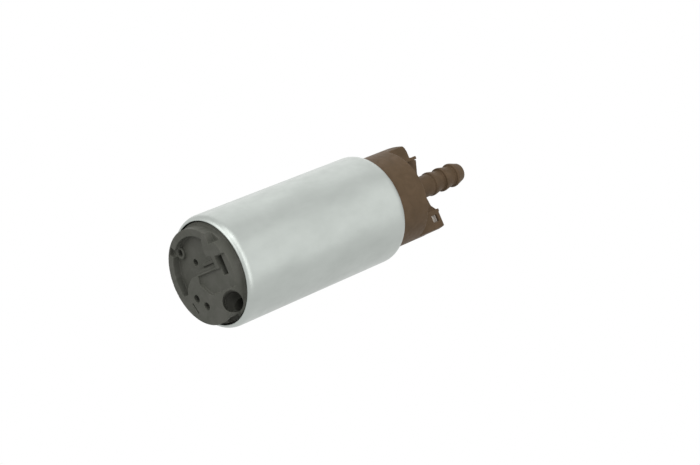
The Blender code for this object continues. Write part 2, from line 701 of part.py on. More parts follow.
def shaft(finish):
    profile = [
        (0.0, shaft_start), (SHAFT_RADIUS - SHAFT_CHAMFER, shaft_start),
        (SHAFT_RADIUS, shaft_start + SHAFT_CHAMFER), (SHAFT_RADIUS, shaft_end - SHAFT_CHAMFER),
        (SHAFT_RADIUS - SHAFT_CHAMFER, shaft_end), (0.0, shaft_end),
    ]
    rod = turned("shaft", profile, finish, SMALL_ROUND)
    cut(rod, block("shaft_flat_tool", (SHAFT_FLAT, -2 * SHAFT_RADIUS, shaft_start - OVERSHOOT),
                   (2 * SHAFT_RADIUS, 2 * SHAFT_RADIUS, impeller_end + RUNNING_GAP)))
    return rod


def tooth_outline(outer_radius):
    """The armature's plan: a yoke with T-shaped teeth and a narrow opening to each slot."""
    half_neck = neck_width / 2
    tip_inner = core_radius - tip_thickness
    tip_half = math.pi / SLOTS - SLOT_OPENING / 2 / core_radius
    root = math.sqrt(yoke_radius ** 2 - half_neck ** 2)
    neck_end = tip_inner - tip_thickness / 4
    outline = []
    for i in range(SLOTS):
        turn = Matrix.Rotation(2 * math.pi * i / SLOTS, 2)
        tooth = [(root, -half_neck), (neck_end, -half_neck), polar(tip_inner, -tip_half)]
        tooth += arc(outer_radius, -tip_half, tip_half, 4)
        tooth += [polar(tip_inner, tip_half), (neck_end, half_neck), (root, half_neck)]
        tooth.append(polar(yoke_radius, math.pi / SLOTS))
        outline += [tuple(turn @ Vector(point)) for point in tooth]
    return outline


def laminated(name, start, end, outer_radius, finish):
    stack = prism(name, tooth_outline(outer_radius), start, end, finish)
    hole = SHAFT_RADIUS + SEAT_GAP
    cut(stack, cylinder(f"{name}_bore_tool", hole, start - OVERSHOOT, end + OVERSHOOT))
    return stack


def armature(finish):
    laminated("armature_core", core_start, core_end, core_radius, finish["lamination"])
    narrow = core_radius - SEAT_GAP
    laminated("insulator_lower", lower_insulator, lower_insulator + INSULATOR_THICKNESS,
              narrow, finish["insulator"])
    laminated("insulator_upper", upper_insulator, upper_insulator + INSULATOR_THICKNESS,
              narrow, finish["insulator"])


def end_turns(name, start, end, finish):
    """The overhanging end of the winding, bulged over each slot."""
    flat, crown = (end, start) if end < lower_insulator else (start, end)
    rise = crown - flat
    shoulder = flat + WINDING_SHOULDER * rise
    taper = WINDING_TAPER * abs(rise)
    profile = [
        (WINDING_BORE, flat), (WINDING_BORE, shoulder), (WINDING_BORE + taper, crown),
        (winding_radius - taper, crown), (winding_radius, shoulder), (winding_radius, flat),
    ]
    coil = turned(name, profile, finish, SLOTS * 4)
    for vert in coil.data.vertices:
        if vert.co.z != coil.data.vertices[0].co.z:
            angle = math.atan2(vert.co.y, vert.co.x)
            over_tooth = (1 + math.cos(SLOTS * angle)) / 2
            vert.co.z -= WINDING_DIP * (vert.co.z - flat) * over_tooth
    return coil


def armature_winding(finish):
    """Both end turns, joined by the wires that fill the slots."""
    winding = end_turns("armature_winding", winding_start, winding_start + WINDING_HEIGHT, finish)
    upper = end_turns("upper_turns_tool", upper_winding, winding_end, None)
    slant = math.tan(math.pi / SLOTS)
    offset = (neck_width / 2 + SEAT_GAP) / math.cos(math.pi / SLOTS)
    inner = yoke_radius + 2 * SEAT_GAP
    outer = winding_radius - 2 * SEAT_GAP
    bars = bmesh.new()
    for i in range(SLOTS):
        turn = Matrix.Rotation(2 * math.pi * (i + 0.5) / SLOTS, 3, "Z")
        low = winding_start + WINDING_HEIGHT - WALL_BITE
        high = upper_winding + WALL_BITE
        section = [(inner, -1), (outer, -1), (outer, 1), (inner, 1)]
        corners = [(x, side * (slant * x - offset)) for x, side in section]
        face = bars.faces.new([bars.verts.new(turn @ Vector((x, y, low))) for x, y in corners])
        grown = bmesh.ops.extrude_face_region(bars, geom=[face])
        raised = [item for item in grown["geom"] if isinstance(item, bmesh.types.BMVert)]
        bmesh.ops.translate(bars, verts=raised, vec=(0.0, 0.0, high - low))
    join(winding, finished("slot_wires_tool", bars, None))
    join(winding, upper)
    return winding


def commutator(finish):
    """A moulded base with flat carbon segments on its upper face."""
    hole = SHAFT_RADIUS + SEAT_GAP
    base_top = commutator_start + COMMUTATOR_BASE
    profile = [
        (hole, commutator_start), (COMMUTATOR_HUB_RADIUS, commutator_start),
        (commutator_radius, base_top - COMMUTATOR_BASE / 2), (commutator_radius, base_top),
        (hole, base_top),
    ]
    turned("commutator_base", profile, finish["stage"], INNER_ROUND)
    pitch = 2 * math.pi / SLOTS
    for i in range(SLOTS):
        middle = i * pitch
        outer_half = pitch / 2 - SEGMENT_GAP / 2 / commutator_radius
        inner_half = pitch / 2 - SEGMENT_GAP / 2 / SEGMENT_INNER
        outline = arc(commutator_radius, middle - outer_half, middle + outer_half, 6)
        outline += arc(SEGMENT_INNER, middle + inner_half, middle - inner_half, 4)
        prism(f"commutator_segment_{i + 1}", outline, segment_start, segment_end,
              finish["carbon"])


def magnets(finish):
    for i in range(2):
        middle = math.pi * i + math.pi / 2
        first = middle - MAGNET_SPAN / 2
        last = middle + MAGNET_SPAN / 2
        outline = arc(magnet_outer, first, last, 13) + arc(magnet_inner, last, first, 13)
        prism(f"magnet_{i + 1}", outline, magnet_start, magnet_end,
              finish["ferrite"])


def magnet_clips(finish):
    """U-shaped springs that press the magnets apart, one in each gap between them."""
    gap_half = (math.pi - MAGNET_SPAN) / 2 - SEAT_GAP / magnet_outer
    inner = magnet_outer - CLIP_THICKNESS
    leg_end = magnet_outer - CLIP_LEG
    for i in range(2):
        middle = math.pi * i
        leg_half = gap_half - CLIP_THICKNESS / inner
        outline = arc(magnet_outer, middle - gap_half, middle + gap_half, 7)
        outline.append(polar(leg_end, middle + gap_half - SEAT_GAP / leg_end))
        outline.append(polar(leg_end, middle + leg_half - SEAT_GAP / leg_end))
        outline += arc(inner, middle + leg_half, middle - leg_half, 7)
        outline.append(polar(leg_end, middle - leg_half + SEAT_GAP / leg_end))
        outline.append(polar(leg_end, middle - gap_half + SEAT_GAP / leg_end))
        prism(f"magnet_clip_{i + 1}", outline, magnet_start, magnet_end,
              finish["spring"])


def nipple_profile():
    """Barbed hose end: a plain neck, then cones with a sharp shoulder towards the pump."""
    root = barrel_top - WALL_BITE
    points = [
        (0.0, root), (NIPPLE_RADIUS + NIPPLE_FILLET, root),
        (NIPPLE_RADIUS + NIPPLE_FILLET / 3, barrel_top + NIPPLE_FILLET / 3),
        (NIPPLE_RADIUS, barrel_top + NIPPLE_FILLET),
    ]
    first = barrel_top + NIPPLE_PLAIN
    points.append((NIPPLE_RADIUS, first - BARB_LAND / 2))
    for i in range(BARB_COUNT):
        shoulder = first + i * BARB_PITCH
        points.append((BARB_FOOT_RADIUS if i else NIPPLE_RADIUS - SEAT_GAP, shoulder))
        points.append((BARB_RADIUS, shoulder))
        points.append((BARB_RADIUS, shoulder + BARB_LAND))
        if i < BARB_COUNT - 1:
            points.append((BARB_FOOT_RADIUS, shoulder + BARB_PITCH - BARB_LAND / 2))
    centre = (BARB_FOOT_RADIUS - TIP_ROUNDING, nipple_top - TIP_ROUNDING)
    points += arc(TIP_ROUNDING, 0.0, math.pi / 2, 4, centre)
    points.append((0.0, nipple_top))
    return points


def sideways(name, outline, start, end):
    """Extrude a (y, z) outline along X."""
    body = prism(name, outline, start, end)
    body.data.transform(Matrix(((0, 0, 1, 0), (1, 0, 0, 0), (0, 1, 0, 0), (0, 0, 0, 1))))
    return body


def lengthways(name, outline, start, end, finish=None):
    """Extrude an (x, z) outline along Y."""
    body = prism(name, outline, -end, -start, finish)
    body.data.transform(Matrix.Rotation(math.pi / 2, 4, "X"))
    return body


def tower_slope(y):
    """Height of a tower's slanted top at a distance from the middle plane."""
    share = (y + TOWER_HIGH_SIDE) / (TOWER_HIGH_SIDE + TOWER_LOW_SIDE)
    return tower_top - HIGH_WALL_DROP - (LOW_WALL_DROP - HIGH_WALL_DROP) * share


def add_tower(cover, number):
    """A block flush with the barrel, with a tall inner wall and a top that slants beside it.

    The second tower is the first one, turned half round the axis.
    """
    foot = barrel_top - WALL_BITE
    far = fitted_radius + OVERSHOOT
    low = TOWER_LOW_SIDE + OVERSHOOT
    high = -TOWER_HIGH_SIDE - OVERSHOOT
    block_outline = [
        (-TOWER_HIGH_SIDE, foot), (TOWER_LOW_SIDE, foot),
        (TOWER_LOW_SIDE, tower_top - INNER_WALL_DROP), (-TOWER_HIGH_SIDE, tower_top),
    ]
    body = sideways(f"tower_tool_{number}", block_outline, tower_inner, fitted_radius)
    rib_side = RIB_HALF_WIDTH - WALL_BITE
    gusset_outline = [
        (tower_inner - GUSSET_REACH, -RIB_HALF_WIDTH), (tower_inner - GUSSET_REACH, -rib_side),
        (tower_inner + WALL_BITE, -rib_side), (tower_inner + WALL_BITE, -TOWER_HIGH_SIDE + SEAT_GAP),
    ]
    gusset = prism(f"gusset_tool_{number}", gusset_outline, foot - WALL_BITE,
                   tower_top - RIB_END_DROP)
    above = [
        (high, tower_slope(high)), (low, tower_slope(low)), (low, tower_top + OVERSHOOT),
        (high, tower_top + OVERSHOOT),
    ]
    slope = sideways(f"tower_slope_tool_{number}", above, tower_inner + TOWER_WALL, far)
    corner_top = tower_slope(TOWER_LOW_SIDE)
    centre = (barrel_radius - TOWER_CORNER, corner_top - TOWER_CORNER)
    rounding = [(far, corner_top - TOWER_CORNER), (far, tower_top + OVERSHOOT),
                (centre[0], tower_top + OVERSHOOT)]
    rounding += arc(TOWER_CORNER, math.pi / 2, 0.0, 5, centre)
    corner = lengthways(f"tower_corner_tool_{number}", rounding, -TOWER_HIGH_SIDE / 2,
                        low)
    for piece in (body, gusset, slope, corner):
        piece.rotation_euler.z = math.pi * (number - 1)
    cut(body, slope)
    cut(body, corner)
    join(cover, body)
    join(cover, gusset)


def hollow_tower(cover, number):
    """The plug's pocket, the slot for the blade, and the window in front of it."""
    floor = tower_top - POCKET_DEPTH
    pocket = block(f"pocket_tool_{number}",
                   (tower_inner + TOWER_WALL, TOWER_WALL - TOWER_HIGH_SIDE, floor),
                   (tower_outer, TOWER_LOW_SIDE - TOWER_WALL, tower_top + OVERSHOOT))
    half_wide = BLADE_WIDTH / 2 + SEAT_GAP
    half_thick = BLADE_THICKNESS / 2 + SEAT_GAP
    slot = block(f"blade_slot_tool_{number}",
                 (blade_place - half_wide, -BLADE_OFFSET - half_thick, cup_top - OVERSHOOT),
                 (blade_place + half_wide, -BLADE_OFFSET + half_thick, floor + OVERSHOOT))
    window_top = tower_top - WINDOW_DROP
    window = block(f"window_tool_{number}",
                   (blade_place - WINDOW_WIDTH / 2, -TOWER_HIGH_SIDE - OVERSHOOT,
                    window_top - WINDOW_HEIGHT),
                   (blade_place + WINDOW_WIDTH / 2, -BLADE_OFFSET, window_top))
    for tool in (pocket, slot, window):
        tool.rotation_euler.z = math.pi * (number - 1)
        cut(cover, tool)


def rib_outline():
    """Rib between the towers, lowest at the nipple and rising more on one side."""
    foot = barrel_top - WALL_BITE
    end = tower_inner + WALL_BITE
    level = tower_top - RIB_LOW_DROP
    return [(-end, foot), (end, foot), (end, tower_top - RIB_END_DROP),
            (NIPPLE_RADIUS, level), (-NIPPLE_RADIUS, level),
            (-tower_inner + SEAT_GAP, tower_top + RIB_HIGH_RISE), (-end, tower_top - WALL_BITE)]


def stepped_bore(name, lower_radius, upper_radius, start, step, end, centre):
    profile = [
        (0.0, start), (lower_radius, start), (lower_radius, step), (upper_radius, step),
        (upper_radius, end), (0.0, end),
    ]
    return turned(name, profile, None, SMALL_ROUND, centre)


def outlet_cover(finish):
    flange_bottom = rear_shoulder + SEAT_GAP
    lip_slope = (REAR_CURL_REACH - SHELL_END_WALL) / 2
    flange_top = shell_end - SHELL_END_WALL - lip_slope - SEAT_GAP
    groove_low = flange_bottom + SEAL_GROOVE_PLACE
    groove_high = groove_low + SEAL_GROOVE_WIDTH
    groove_floor = fitted_radius - SEAL_GROOVE_DEPTH
    chamfer = fitted_radius - barrel_radius + BARREL_CHAMFER
    profile = [
        (0.0, cup_top), (cup_radius, cup_top), (cup_radius, flange_bottom),
        (fitted_radius, flange_bottom), (fitted_radius, groove_low), (groove_floor, groove_low),
        (groove_floor, groove_high), (fitted_radius, groove_high),
        (fitted_radius, barrel_top - chamfer), (fitted_radius - chamfer, barrel_top),
        (0.0, barrel_top),
    ]
    cover = turned("outlet_cover", profile, finish)
    for number in (1, 2):
        add_tower(cover, number)
    join(cover, lengthways("tower_rib_tool", rib_outline(), -RIB_HALF_WIDTH, RIB_HALF_WIDTH))
    far = SHELL_RADIUS + OVERSHOOT
    outside = [
        (barrel_radius, flange_top), (far, flange_top), (far, tower_top + OVERSHOOT),
        (barrel_radius, tower_top + OVERSHOOT),
    ]
    cut(cover, turned("barrel_tool", outside))
    place = (NIPPLE_OFFSET, 0.0)
    join(cover, turned("nipple_tool", nipple_profile(), None, 28, place))
    relief = (0.0, relief_place)
    chamber_wall = NIPPLE_RADIUS
    join(cover, cylinder("valve_boss_tool", chamber_wall, valve_start, cup_top + WALL_BITE,
                         centre=place))
    join(cover, cylinder("relief_stub_tool", RELIEF_STUB_RADIUS, valve_start, relief_top,
                         centre=relief))
    for number in (1, 2):
        hollow_tower(cover, number)
    below = valve_start - OVERSHOOT
    cut(cover, stepped_bore("nipple_bore_tool", VALVE_BORE, NIPPLE_BORE, below, valve_end,
                            nipple_top + OVERSHOOT, place))
    cut(cover, stepped_bore("relief_bore_tool", RELIEF_HOLE, RELIEF_BORE, below, relief_seat,
                            relief_top + OVERSHOOT, relief))
    return cover


def outlet_seal(finish):
    groove_middle = rear_shoulder + SEAT_GAP + SEAL_GROOVE_PLACE + SEAL_GROOVE_WIDTH / 2
    middle = fitted_radius - SEAL_GROOVE_DEPTH + SEAT_GAP + SEAL_SECTION
    section = arc(SEAL_SECTION, 0.0, 2 * math.pi * 5 / 6, 6, (middle, groove_middle))
    return turned("outlet_seal", section, finish, INNER_ROUND)


def terminal_blades(finish):
    top = tower_top - BLADE_DROP
    bottom = cup_top - BLADE_TAIL
    left = blade_place - BLADE_WIDTH / 2
    right = blade_place + BLADE_WIDTH / 2
    outline = [
        (left, bottom), (right, bottom), (right, top - BLADE_CHAMFER),
        (right - BLADE_CHAMFER, top), (left + BLADE_CHAMFER, top), (left, top - BLADE_CHAMFER),
    ]
    for i in range(2):
        blade = lengthways(f"terminal_{i + 1}", outline, -BLADE_OFFSET - BLADE_THICKNESS / 2,
                           -BLADE_OFFSET + BLADE_THICKNESS / 2, finish)
        blade.rotation_euler.z = math.pi * i


def brush_places():
    return [(brush_place, 0.0), (-brush_place, 0.0)]


def brushes(finish):
    for i, (x, y) in enumerate(brush_places()):
        name = i + 1
        low = (x - brush_depth / 2, y - BRUSH_WIDTH / 2, brush_start)
        high = (x + brush_depth / 2, y + BRUSH_WIDTH / 2, brush_end)
        block(f"brush_{name}", low, high, finish["carbon"])
        low_end = brush_end + SEAT_GAP + SPRING_WIRE
        high_end = guide_end - SEAT_GAP - SPRING_WIRE
        wire(f"brush_spring_{name}",
             helix((x, y), BRUSH_SPRING_RADIUS, low_end, high_end, BRUSH_SPRING_TURNS),
             SPRING_WIRE, finish["spring"])
        lead_top = carrier_top + 3 * LEAD_RADIUS
        lead = [
            (x, y, brush_end + SEAT_GAP), (x, y, carrier_top),
            (x, y + LEAD_RADIUS, lead_top - LEAD_RADIUS),
            (x, y + 3 * LEAD_RADIUS, lead_top), (x, y + BRUSH_WIDTH / 2, lead_top),
        ]
        wire(f"brush_lead_{name}", lead, LEAD_RADIUS, finish["copper"])


def choke_places():
    return [(0.0, choke_place), (0.0, -choke_place)]


def brush_carrier(finish):
    """Moulded disc inside the outlet cover, with the brush guides and the upper bearing."""
    disc_radius = cup_radius - SEAT_GAP
    pocket = bush_radius + SEAT_GAP
    boss_radius = pocket + BUSH_BOSS_WALL
    pocket_top = upper_bush_start + UPPER_BUSH_LENGTH + SEAT_GAP
    end_top = shaft_end + RUNNING_GAP
    end_radius = SHAFT_RADIUS + RUNNING_GAP
    profile = [
        (0.0, end_top), (end_radius, end_top), (end_radius, pocket_top), (pocket, pocket_top),
        (pocket, guide_start), (boss_radius, guide_start), (boss_radius, carrier_start),
        (disc_radius, carrier_start), (disc_radius, carrier_top), (0.0, carrier_top),
    ]
    carrier = turned("brush_carrier", profile, finish, INNER_ROUND)
    half_depth = brush_depth / 2 + RUNNING_GAP
    half_width = BRUSH_WIDTH / 2 + RUNNING_GAP
    wide = half_width + GUIDE_WALL
    for i in range(2):
        guide = block(f"guide_tool_{i + 1}", (pocket + GUIDE_WALL / 2, -wide, guide_start),
                      (brush_place + half_depth + GUIDE_WALL, wide, carrier_start + WALL_BITE))
        guide.rotation_euler.z = math.pi * i
        join(carrier, guide)
    for i, (x, y) in enumerate(brush_places()):
        low = (x - half_depth, y - half_width, guide_start - OVERSHOOT)
        high = (x + half_depth, y + half_width, guide_end)
        cut(carrier, block(f"guide_bore_tool_{i + 1}", low, high))
        cut(carrier, cylinder(f"lead_hole_tool_{i + 1}", LEAD_RADIUS + SEAT_GAP,
                              guide_end - OVERSHOOT, carrier_top + OVERSHOOT, steps=12,
                              centre=(x, y)))
    for i, place in enumerate(choke_places()):
        cut(carrier, cylinder(f"choke_hole_tool_{i + 1}", CHOKE_CORE_RADIUS + SEAT_GAP,
                              carrier_start - OVERSHOOT, carrier_top + OVERSHOOT, steps=16,
                              centre=place))
    flow_place = disc_radius - FLOW_HOLE_EDGE - FLOW_HOLE_RADIUS
    for i in range(FLOW_HOLES):
        place = polar(flow_place, 2 * math.pi * (i + 0.5) / FLOW_HOLES)
        cut(carrier, cylinder(f"flow_hole_tool_{i + 1}", FLOW_HOLE_RADIUS,
                              carrier_start - OVERSHOOT, carrier_top + OVERSHOOT, steps=16,
                              centre=place))
    return carrier


def chokes(finish):
    """Suppression chokes: a ferrite rod through the carrier with a few turns below it."""
    for i, place in enumerate(choke_places()):
        top = carrier_top
        cylinder(f"choke_core_{i + 1}", CHOKE_CORE_RADIUS, top - CHOKE_CORE_LENGTH, top,
                 finish["ferrite"], 16, place)
        radius = CHOKE_CORE_RADIUS + SEAT_GAP + CHOKE_WIRE
        low = top - CHOKE_CORE_LENGTH + 2 * CHOKE_WIRE
        high = carrier_start - SEAT_GAP - CHOKE_WIRE
        wire(f"choke_coil_{i + 1}", helix(place, radius, low, high, CHOKE_TURNS),
             CHOKE_WIRE, finish["copper"])


def check_valve(finish):
    place = (NIPPLE_OFFSET, 0.0)
    ring("check_seat", VALVE_SEAT_HOLE, VALVE_BORE - SEAT_GAP, valve_start,
         valve_start + VALVE_SEAT_HEIGHT, finish["brass"], SMALL_ROUND, place)
    head_top = plunger_start + PLUNGER_HEAD
    stem_top = head_top + PLUNGER_STEM_LENGTH
    profile = [
        (0.0, plunger_start - SEAT_GAP), (VALVE_SEAT_HOLE - SEAT_GAP, plunger_start - SEAT_GAP),
        (PLUNGER_RADIUS, plunger_start + SEAT_GAP), (PLUNGER_RADIUS, head_top),
        (PLUNGER_STEM_RADIUS, head_top), (PLUNGER_STEM_RADIUS, stem_top), (0.0, stem_top),
    ]
    turned("check_plunger", profile, finish["insulator"], SMALL_ROUND, place)
    low = head_top + SEAT_GAP + SPRING_WIRE
    high = valve_end - SEAT_GAP - SPRING_WIRE
    wire("check_spring", helix(place, VALVE_SPRING_RADIUS, low, high, VALVE_SPRING_TURNS),
         SPRING_WIRE, finish["spring"])


def ball(name, radius, centre, finish):
    bm = bmesh.new()
    bmesh.ops.create_uvsphere(bm, u_segments=14, v_segments=9, radius=radius,
                              matrix=Matrix.Translation(centre))
    return finished(name, bm, finish)


def relief_valve(finish):
    place = (0.0, relief_place)
    rest = math.sqrt(RELIEF_BALL_RADIUS ** 2 - RELIEF_HOLE ** 2) + SEAT_GAP
    ball_centre = relief_seat + rest
    ball("relief_ball", RELIEF_BALL_RADIUS, (*place, ball_centre), finish["steel"])
    cap_top = relief_top - RELIEF_CAP_DROP
    cap_start = cap_top - RELIEF_CAP_HEIGHT
    ring("relief_cap", RELIEF_CAP_HOLE, RELIEF_BORE - SEAT_GAP, cap_start, cap_top,
         finish["brass"], SMALL_ROUND, place)
    low = ball_centre + RELIEF_SPRING_FOOT * RELIEF_BALL_RADIUS + SPRING_WIRE
    high = cap_start - SEAT_GAP - SPRING_WIRE
    wire("relief_spring", helix(place, RELIEF_SPRING_RADIUS, low, high, RELIEF_SPRING_TURNS),
         SPRING_WIRE, finish["spring"])


def build():
    clear_scene()
    finish = finishes()
    shell_tube(finish["shell"])
    inlet_cover(finish["inlet"])
    thrust_button(finish["steel"])
    impeller(finish["stage"])
    channel_plate(finish["stage"])
    lower_bush(finish["bronze"])
    upper_bush(finish["bronze"])
    shaft(finish["steel"])
    armature(finish)
    armature_winding(finish["copper"])
    commutator(finish)
    magnets(finish)
    magnet_clips(finish)
    brush_carrier(finish["carrier"])
    brushes(finish)
    chokes(finish)
    outlet_cover(finish["outlet"])
    outlet_seal(finish["rubber"])
    terminal_blades(finish["tin"])
    check_valve(finish)
    relief_valve(finish)
    settle()


build()
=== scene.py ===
"""Looks of the in-tank fuel pump: a finer shell, softened mouldings, wound wire and a finish for
every piece.

All lengths are metres in the CAD's frame, where the pump stands on its inlet cover and +Z points
to the hose nipple. The camera looks from below the inlet's side, as the photograph's did.
"""
import json
import math

import bmesh
import bpy
import numpy as np
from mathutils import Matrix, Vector

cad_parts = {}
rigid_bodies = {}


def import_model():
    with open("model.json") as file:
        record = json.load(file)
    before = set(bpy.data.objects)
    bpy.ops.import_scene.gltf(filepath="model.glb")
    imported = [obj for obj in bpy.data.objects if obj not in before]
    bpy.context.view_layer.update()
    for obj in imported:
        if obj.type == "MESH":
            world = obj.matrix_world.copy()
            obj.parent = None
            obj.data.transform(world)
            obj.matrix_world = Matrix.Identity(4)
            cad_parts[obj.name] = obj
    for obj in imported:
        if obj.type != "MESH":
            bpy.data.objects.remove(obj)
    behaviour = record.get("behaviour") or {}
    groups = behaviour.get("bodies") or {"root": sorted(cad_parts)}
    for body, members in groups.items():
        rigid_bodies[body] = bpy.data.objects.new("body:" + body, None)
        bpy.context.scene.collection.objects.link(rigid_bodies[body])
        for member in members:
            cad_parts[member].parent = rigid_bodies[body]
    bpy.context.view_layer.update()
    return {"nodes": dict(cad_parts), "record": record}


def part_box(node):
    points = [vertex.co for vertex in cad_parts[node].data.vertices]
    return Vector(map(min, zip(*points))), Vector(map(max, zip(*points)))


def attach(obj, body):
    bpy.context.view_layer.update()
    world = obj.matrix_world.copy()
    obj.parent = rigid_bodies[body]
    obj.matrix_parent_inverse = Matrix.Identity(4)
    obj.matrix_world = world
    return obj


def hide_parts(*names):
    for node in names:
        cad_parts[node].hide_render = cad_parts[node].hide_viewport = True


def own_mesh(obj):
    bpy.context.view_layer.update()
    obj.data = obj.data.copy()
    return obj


for leftover in list(bpy.data.objects):
    bpy.data.objects.remove(leftover)
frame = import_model()

MM = 0.001

# The shell, as the CAD has it
SHELL_RADIUS = 19.0 * MM
SHELL_START, SHELL_END = 3.9 * MM, 75.0 * MM
FRONT_CURL = (1.6 * MM, 2.8 * MM)        # reach inwards, length along the axis
REAR_CURL = (2.3 * MM, 3.4 * MM)
END_WALL = 1.0 * MM
BORE_RADIUS = 17.2 * MM
SHOULDERS = (22.3 * MM, 61.7 * MM)
LIP_ROUNDING = 0.25 * MM
SHELL_STEPS = 160
CURL_STEPS = 14

# Mouldings: cell of the softened copy, smoothing rounds, part of its faces kept
INLET_SOFTNESS = (0.15 * MM, 3, 0.3)
OUTLET_SOFTNESS = (0.2 * MM, 2, 0.3)
COVER_SIDES = 60                         # facets round the CAD's covers

# Forms of the inlet face that the copy has a little wider or deeper than the CAD, as the
# photograph does: outline to the right and up as the camera sees the face, in mm, and depth
FACE_CARVINGS = (
    # Shelf beside the slot
    ([(1.7, -6.7), (18.0, -6.7), (18.0, 4.4), (11.0, 4.4), (11.0, 0.4), (-1.4, 0.4),
      (-2.2, -2.2)], 0.9 * MM),
    # Slit near the pin holes
    ([(-10.4, -6.9), (-9.15, -10.7), (-8.55, -10.5), (-9.8, -6.7)], 1.4 * MM),
    # Side notch
    ([(10.6, 8.7), (18.0, 8.7), (18.0, 12.4), (10.6, 12.4)], 2.6 * MM),
)
FACE_SPREAD = 13.5 / 13.6                # the CAD's face layout to its real size
CARVING_START = 1.0 * MM                 # how far a cutting body stands out of the face
NIPPLE_SIDES = 28
NIPPLE_PLACE = (0.5 * MM, 0.0)
NIPPLE_REACH = 6.0 * MM                  # everything this near its axis, above the barrel
BARREL_TOP = 87.8 * MM

# Armature: slots, the wires in them and the sheets of the core
SLOTS = 8
SLOT_SPAN = 3                            # slots from one side of a coil to the other
WIRE_RADIUS = 0.25 * MM
SPRING_WIRE_RADIUS = 0.2 * MM
CHOKE_WIRE_RADIUS = 0.35 * MM
SLOT_ROWS = (6.0 * MM, 9.9 * MM, 7)      # first and last row of wires, and how many rows
NECK_HALF_WIDTH = 1.3 * MM
SHEET_THICKNESS = 0.5 * MM
SHEET_SEAM = 0.04 * MM
WIRE_PITCH = 2.2 * WIRE_RADIUS           # between wires that lie side by side
FIRST_WIRE = 0.6                         # place of a slot's first wire, in pitches
ROW_DROP, COLUMN_DROP = 0.4 * MM, 0.3 * MM  # how much lower the inner coils' ends lie
SHAFT_CLEARANCE = 4.0 * MM               # nearest that a coil's end comes to the axis
COIL_STEPS = 16                          # points along one end of a coil

# Camera, fitted to the photograph's shell outline
CAMERA_PLACE = (0.0, -0.483758, -0.333947)
CAMERA_TURN = (154.6305, -45.3778, -56.9549)
CAMERA_LENS = 95.234


def linear(code):
    """A linear RGBA colour from an sRGB hex one."""
    shares = [int(code[i:i + 2], 16) / 255 for i in (1, 3, 5)]
    return (*[((share + 0.055) / 1.055) ** 2.4 if share > 0.04045 else share / 12.92
              for share in shares], 1.0)


def add(tree, kind, sockets=None, stops=(), **settings):
    """Add a node: settings are its properties, sockets maps inputs to values or outputs, and
    stops are the places and colours of a ramp."""
    node = tree.nodes.new(kind)
    for name, value in settings.items():
        setattr(node, name, value)
    for number, (position, code) in enumerate(stops):
        stop = node.color_ramp.elements[number]
        stop.position = position
        stop.color = linear(code)
    for key, value in (sockets or {}).items():
        if isinstance(value, bpy.types.NodeSocket):
            tree.links.new(value, node.inputs[key])
        else:
            node.inputs[key].default_value = value
    return node


def begin(name, **sockets):
    """A new finish with its shader's constant values, and the piece's own coordinates."""
    made = bpy.data.materials.new(name)
    made.use_nodes = True
    tree = made.node_tree
    shader = tree.nodes["Principled BSDF"]
    for socket, value in sockets.items():
        shader.inputs[socket.replace("_", " ")].default_value = value
    return made, tree, shader, add(tree, "ShaderNodeTexCoord").outputs["Object"]


def plated_steel():
    """Drawn steel tube, zinc plated: a satin grey-green metal with soft clouds and faint lines."""
    made, tree, shader, place = begin("zinc_plated_steel", Metallic=1.0)
    long = add(tree, "ShaderNodeMapping", {"Vector": place, "Scale": (140.0, 140.0, 60.0)})
    clouds = add(tree, "ShaderNodeTexNoise", {"Vector": long.outputs[0], "Scale": 1.0,
                                              "Detail": 4.0})
    ramp = add(tree, "ShaderNodeValToRGB", {"Fac": clouds.outputs["Fac"]},
               stops=((0.3, "#A9AEAA"), (0.7, "#B2B7B3")))
    spots = add(tree, "ShaderNodeTexNoise", {"Vector": place, "Scale": 400.0, "Detail": 3.0})
    satin = add(tree, "ShaderNodeMapRange", {"Value": spots.outputs["Fac"], "From Min": 0.3,
                                             "From Max": 0.7, "To Min": 0.36, "To Max": 0.44})
    # Drawing lines are about 0.05 mm apart, drawn at 0.4 mm so that they show.
    drawn = add(tree, "ShaderNodeMapping", {"Vector": place, "Scale": (2500.0, 2500.0, 40.0)})
    lines = add(tree, "ShaderNodeTexNoise", {"Vector": drawn.outputs[0], "Scale": 1.0,
                                             "Detail": 2.0})
    bump = add(tree, "ShaderNodeBump", {"Height": lines.outputs["Fac"], "Distance": 0.003 * MM})
    tree.links.new(ramp.outputs["Color"], shader.inputs["Base Color"])
    tree.links.new(satin.outputs["Result"], shader.inputs["Roughness"])
    tree.links.new(bump.outputs["Normal"], shader.inputs["Normal"])
    return made


def filled_plastic(name, dark, pale, dull):
    """Glass-filled PPS, injection moulded: nearly matt, with cloudy flow marks and fibre grain."""
    made, tree, shader, place = begin(name, Specular_IOR_Level=0.12)
    flow = add(tree, "ShaderNodeTexNoise", {"Vector": place, "Scale": 220.0, "Detail": 5.0,
                                            "Distortion": 0.6})
    ramp = add(tree, "ShaderNodeValToRGB", {"Fac": flow.outputs["Fac"]},
               stops=((0.3, dark), (0.7, pale)))
    spots = add(tree, "ShaderNodeTexNoise", {"Vector": place, "Scale": 700.0, "Detail": 3.0})
    matt = add(tree, "ShaderNodeMapRange", {"Value": spots.outputs["Fac"], "From Min": 0.3,
                                            "From Max": 0.7, "To Min": dull - 0.06,
                                            "To Max": dull + 0.08})
    # Glass fibres are 0.01 mm thick, drawn as grains of 0.3 mm.
    fibres = add(tree, "ShaderNodeTexNoise", {"Vector": place, "Scale": 3300.0, "Detail": 3.0})
    bump = add(tree, "ShaderNodeBump", {"Height": fibres.outputs["Fac"], "Distance": 0.02 * MM})
    tree.links.new(ramp.outputs["Color"], shader.inputs["Base Color"])
    tree.links.new(matt.outputs["Result"], shader.inputs["Roughness"])
    tree.links.new(bump.outputs["Normal"], shader.inputs["Normal"])
    return made


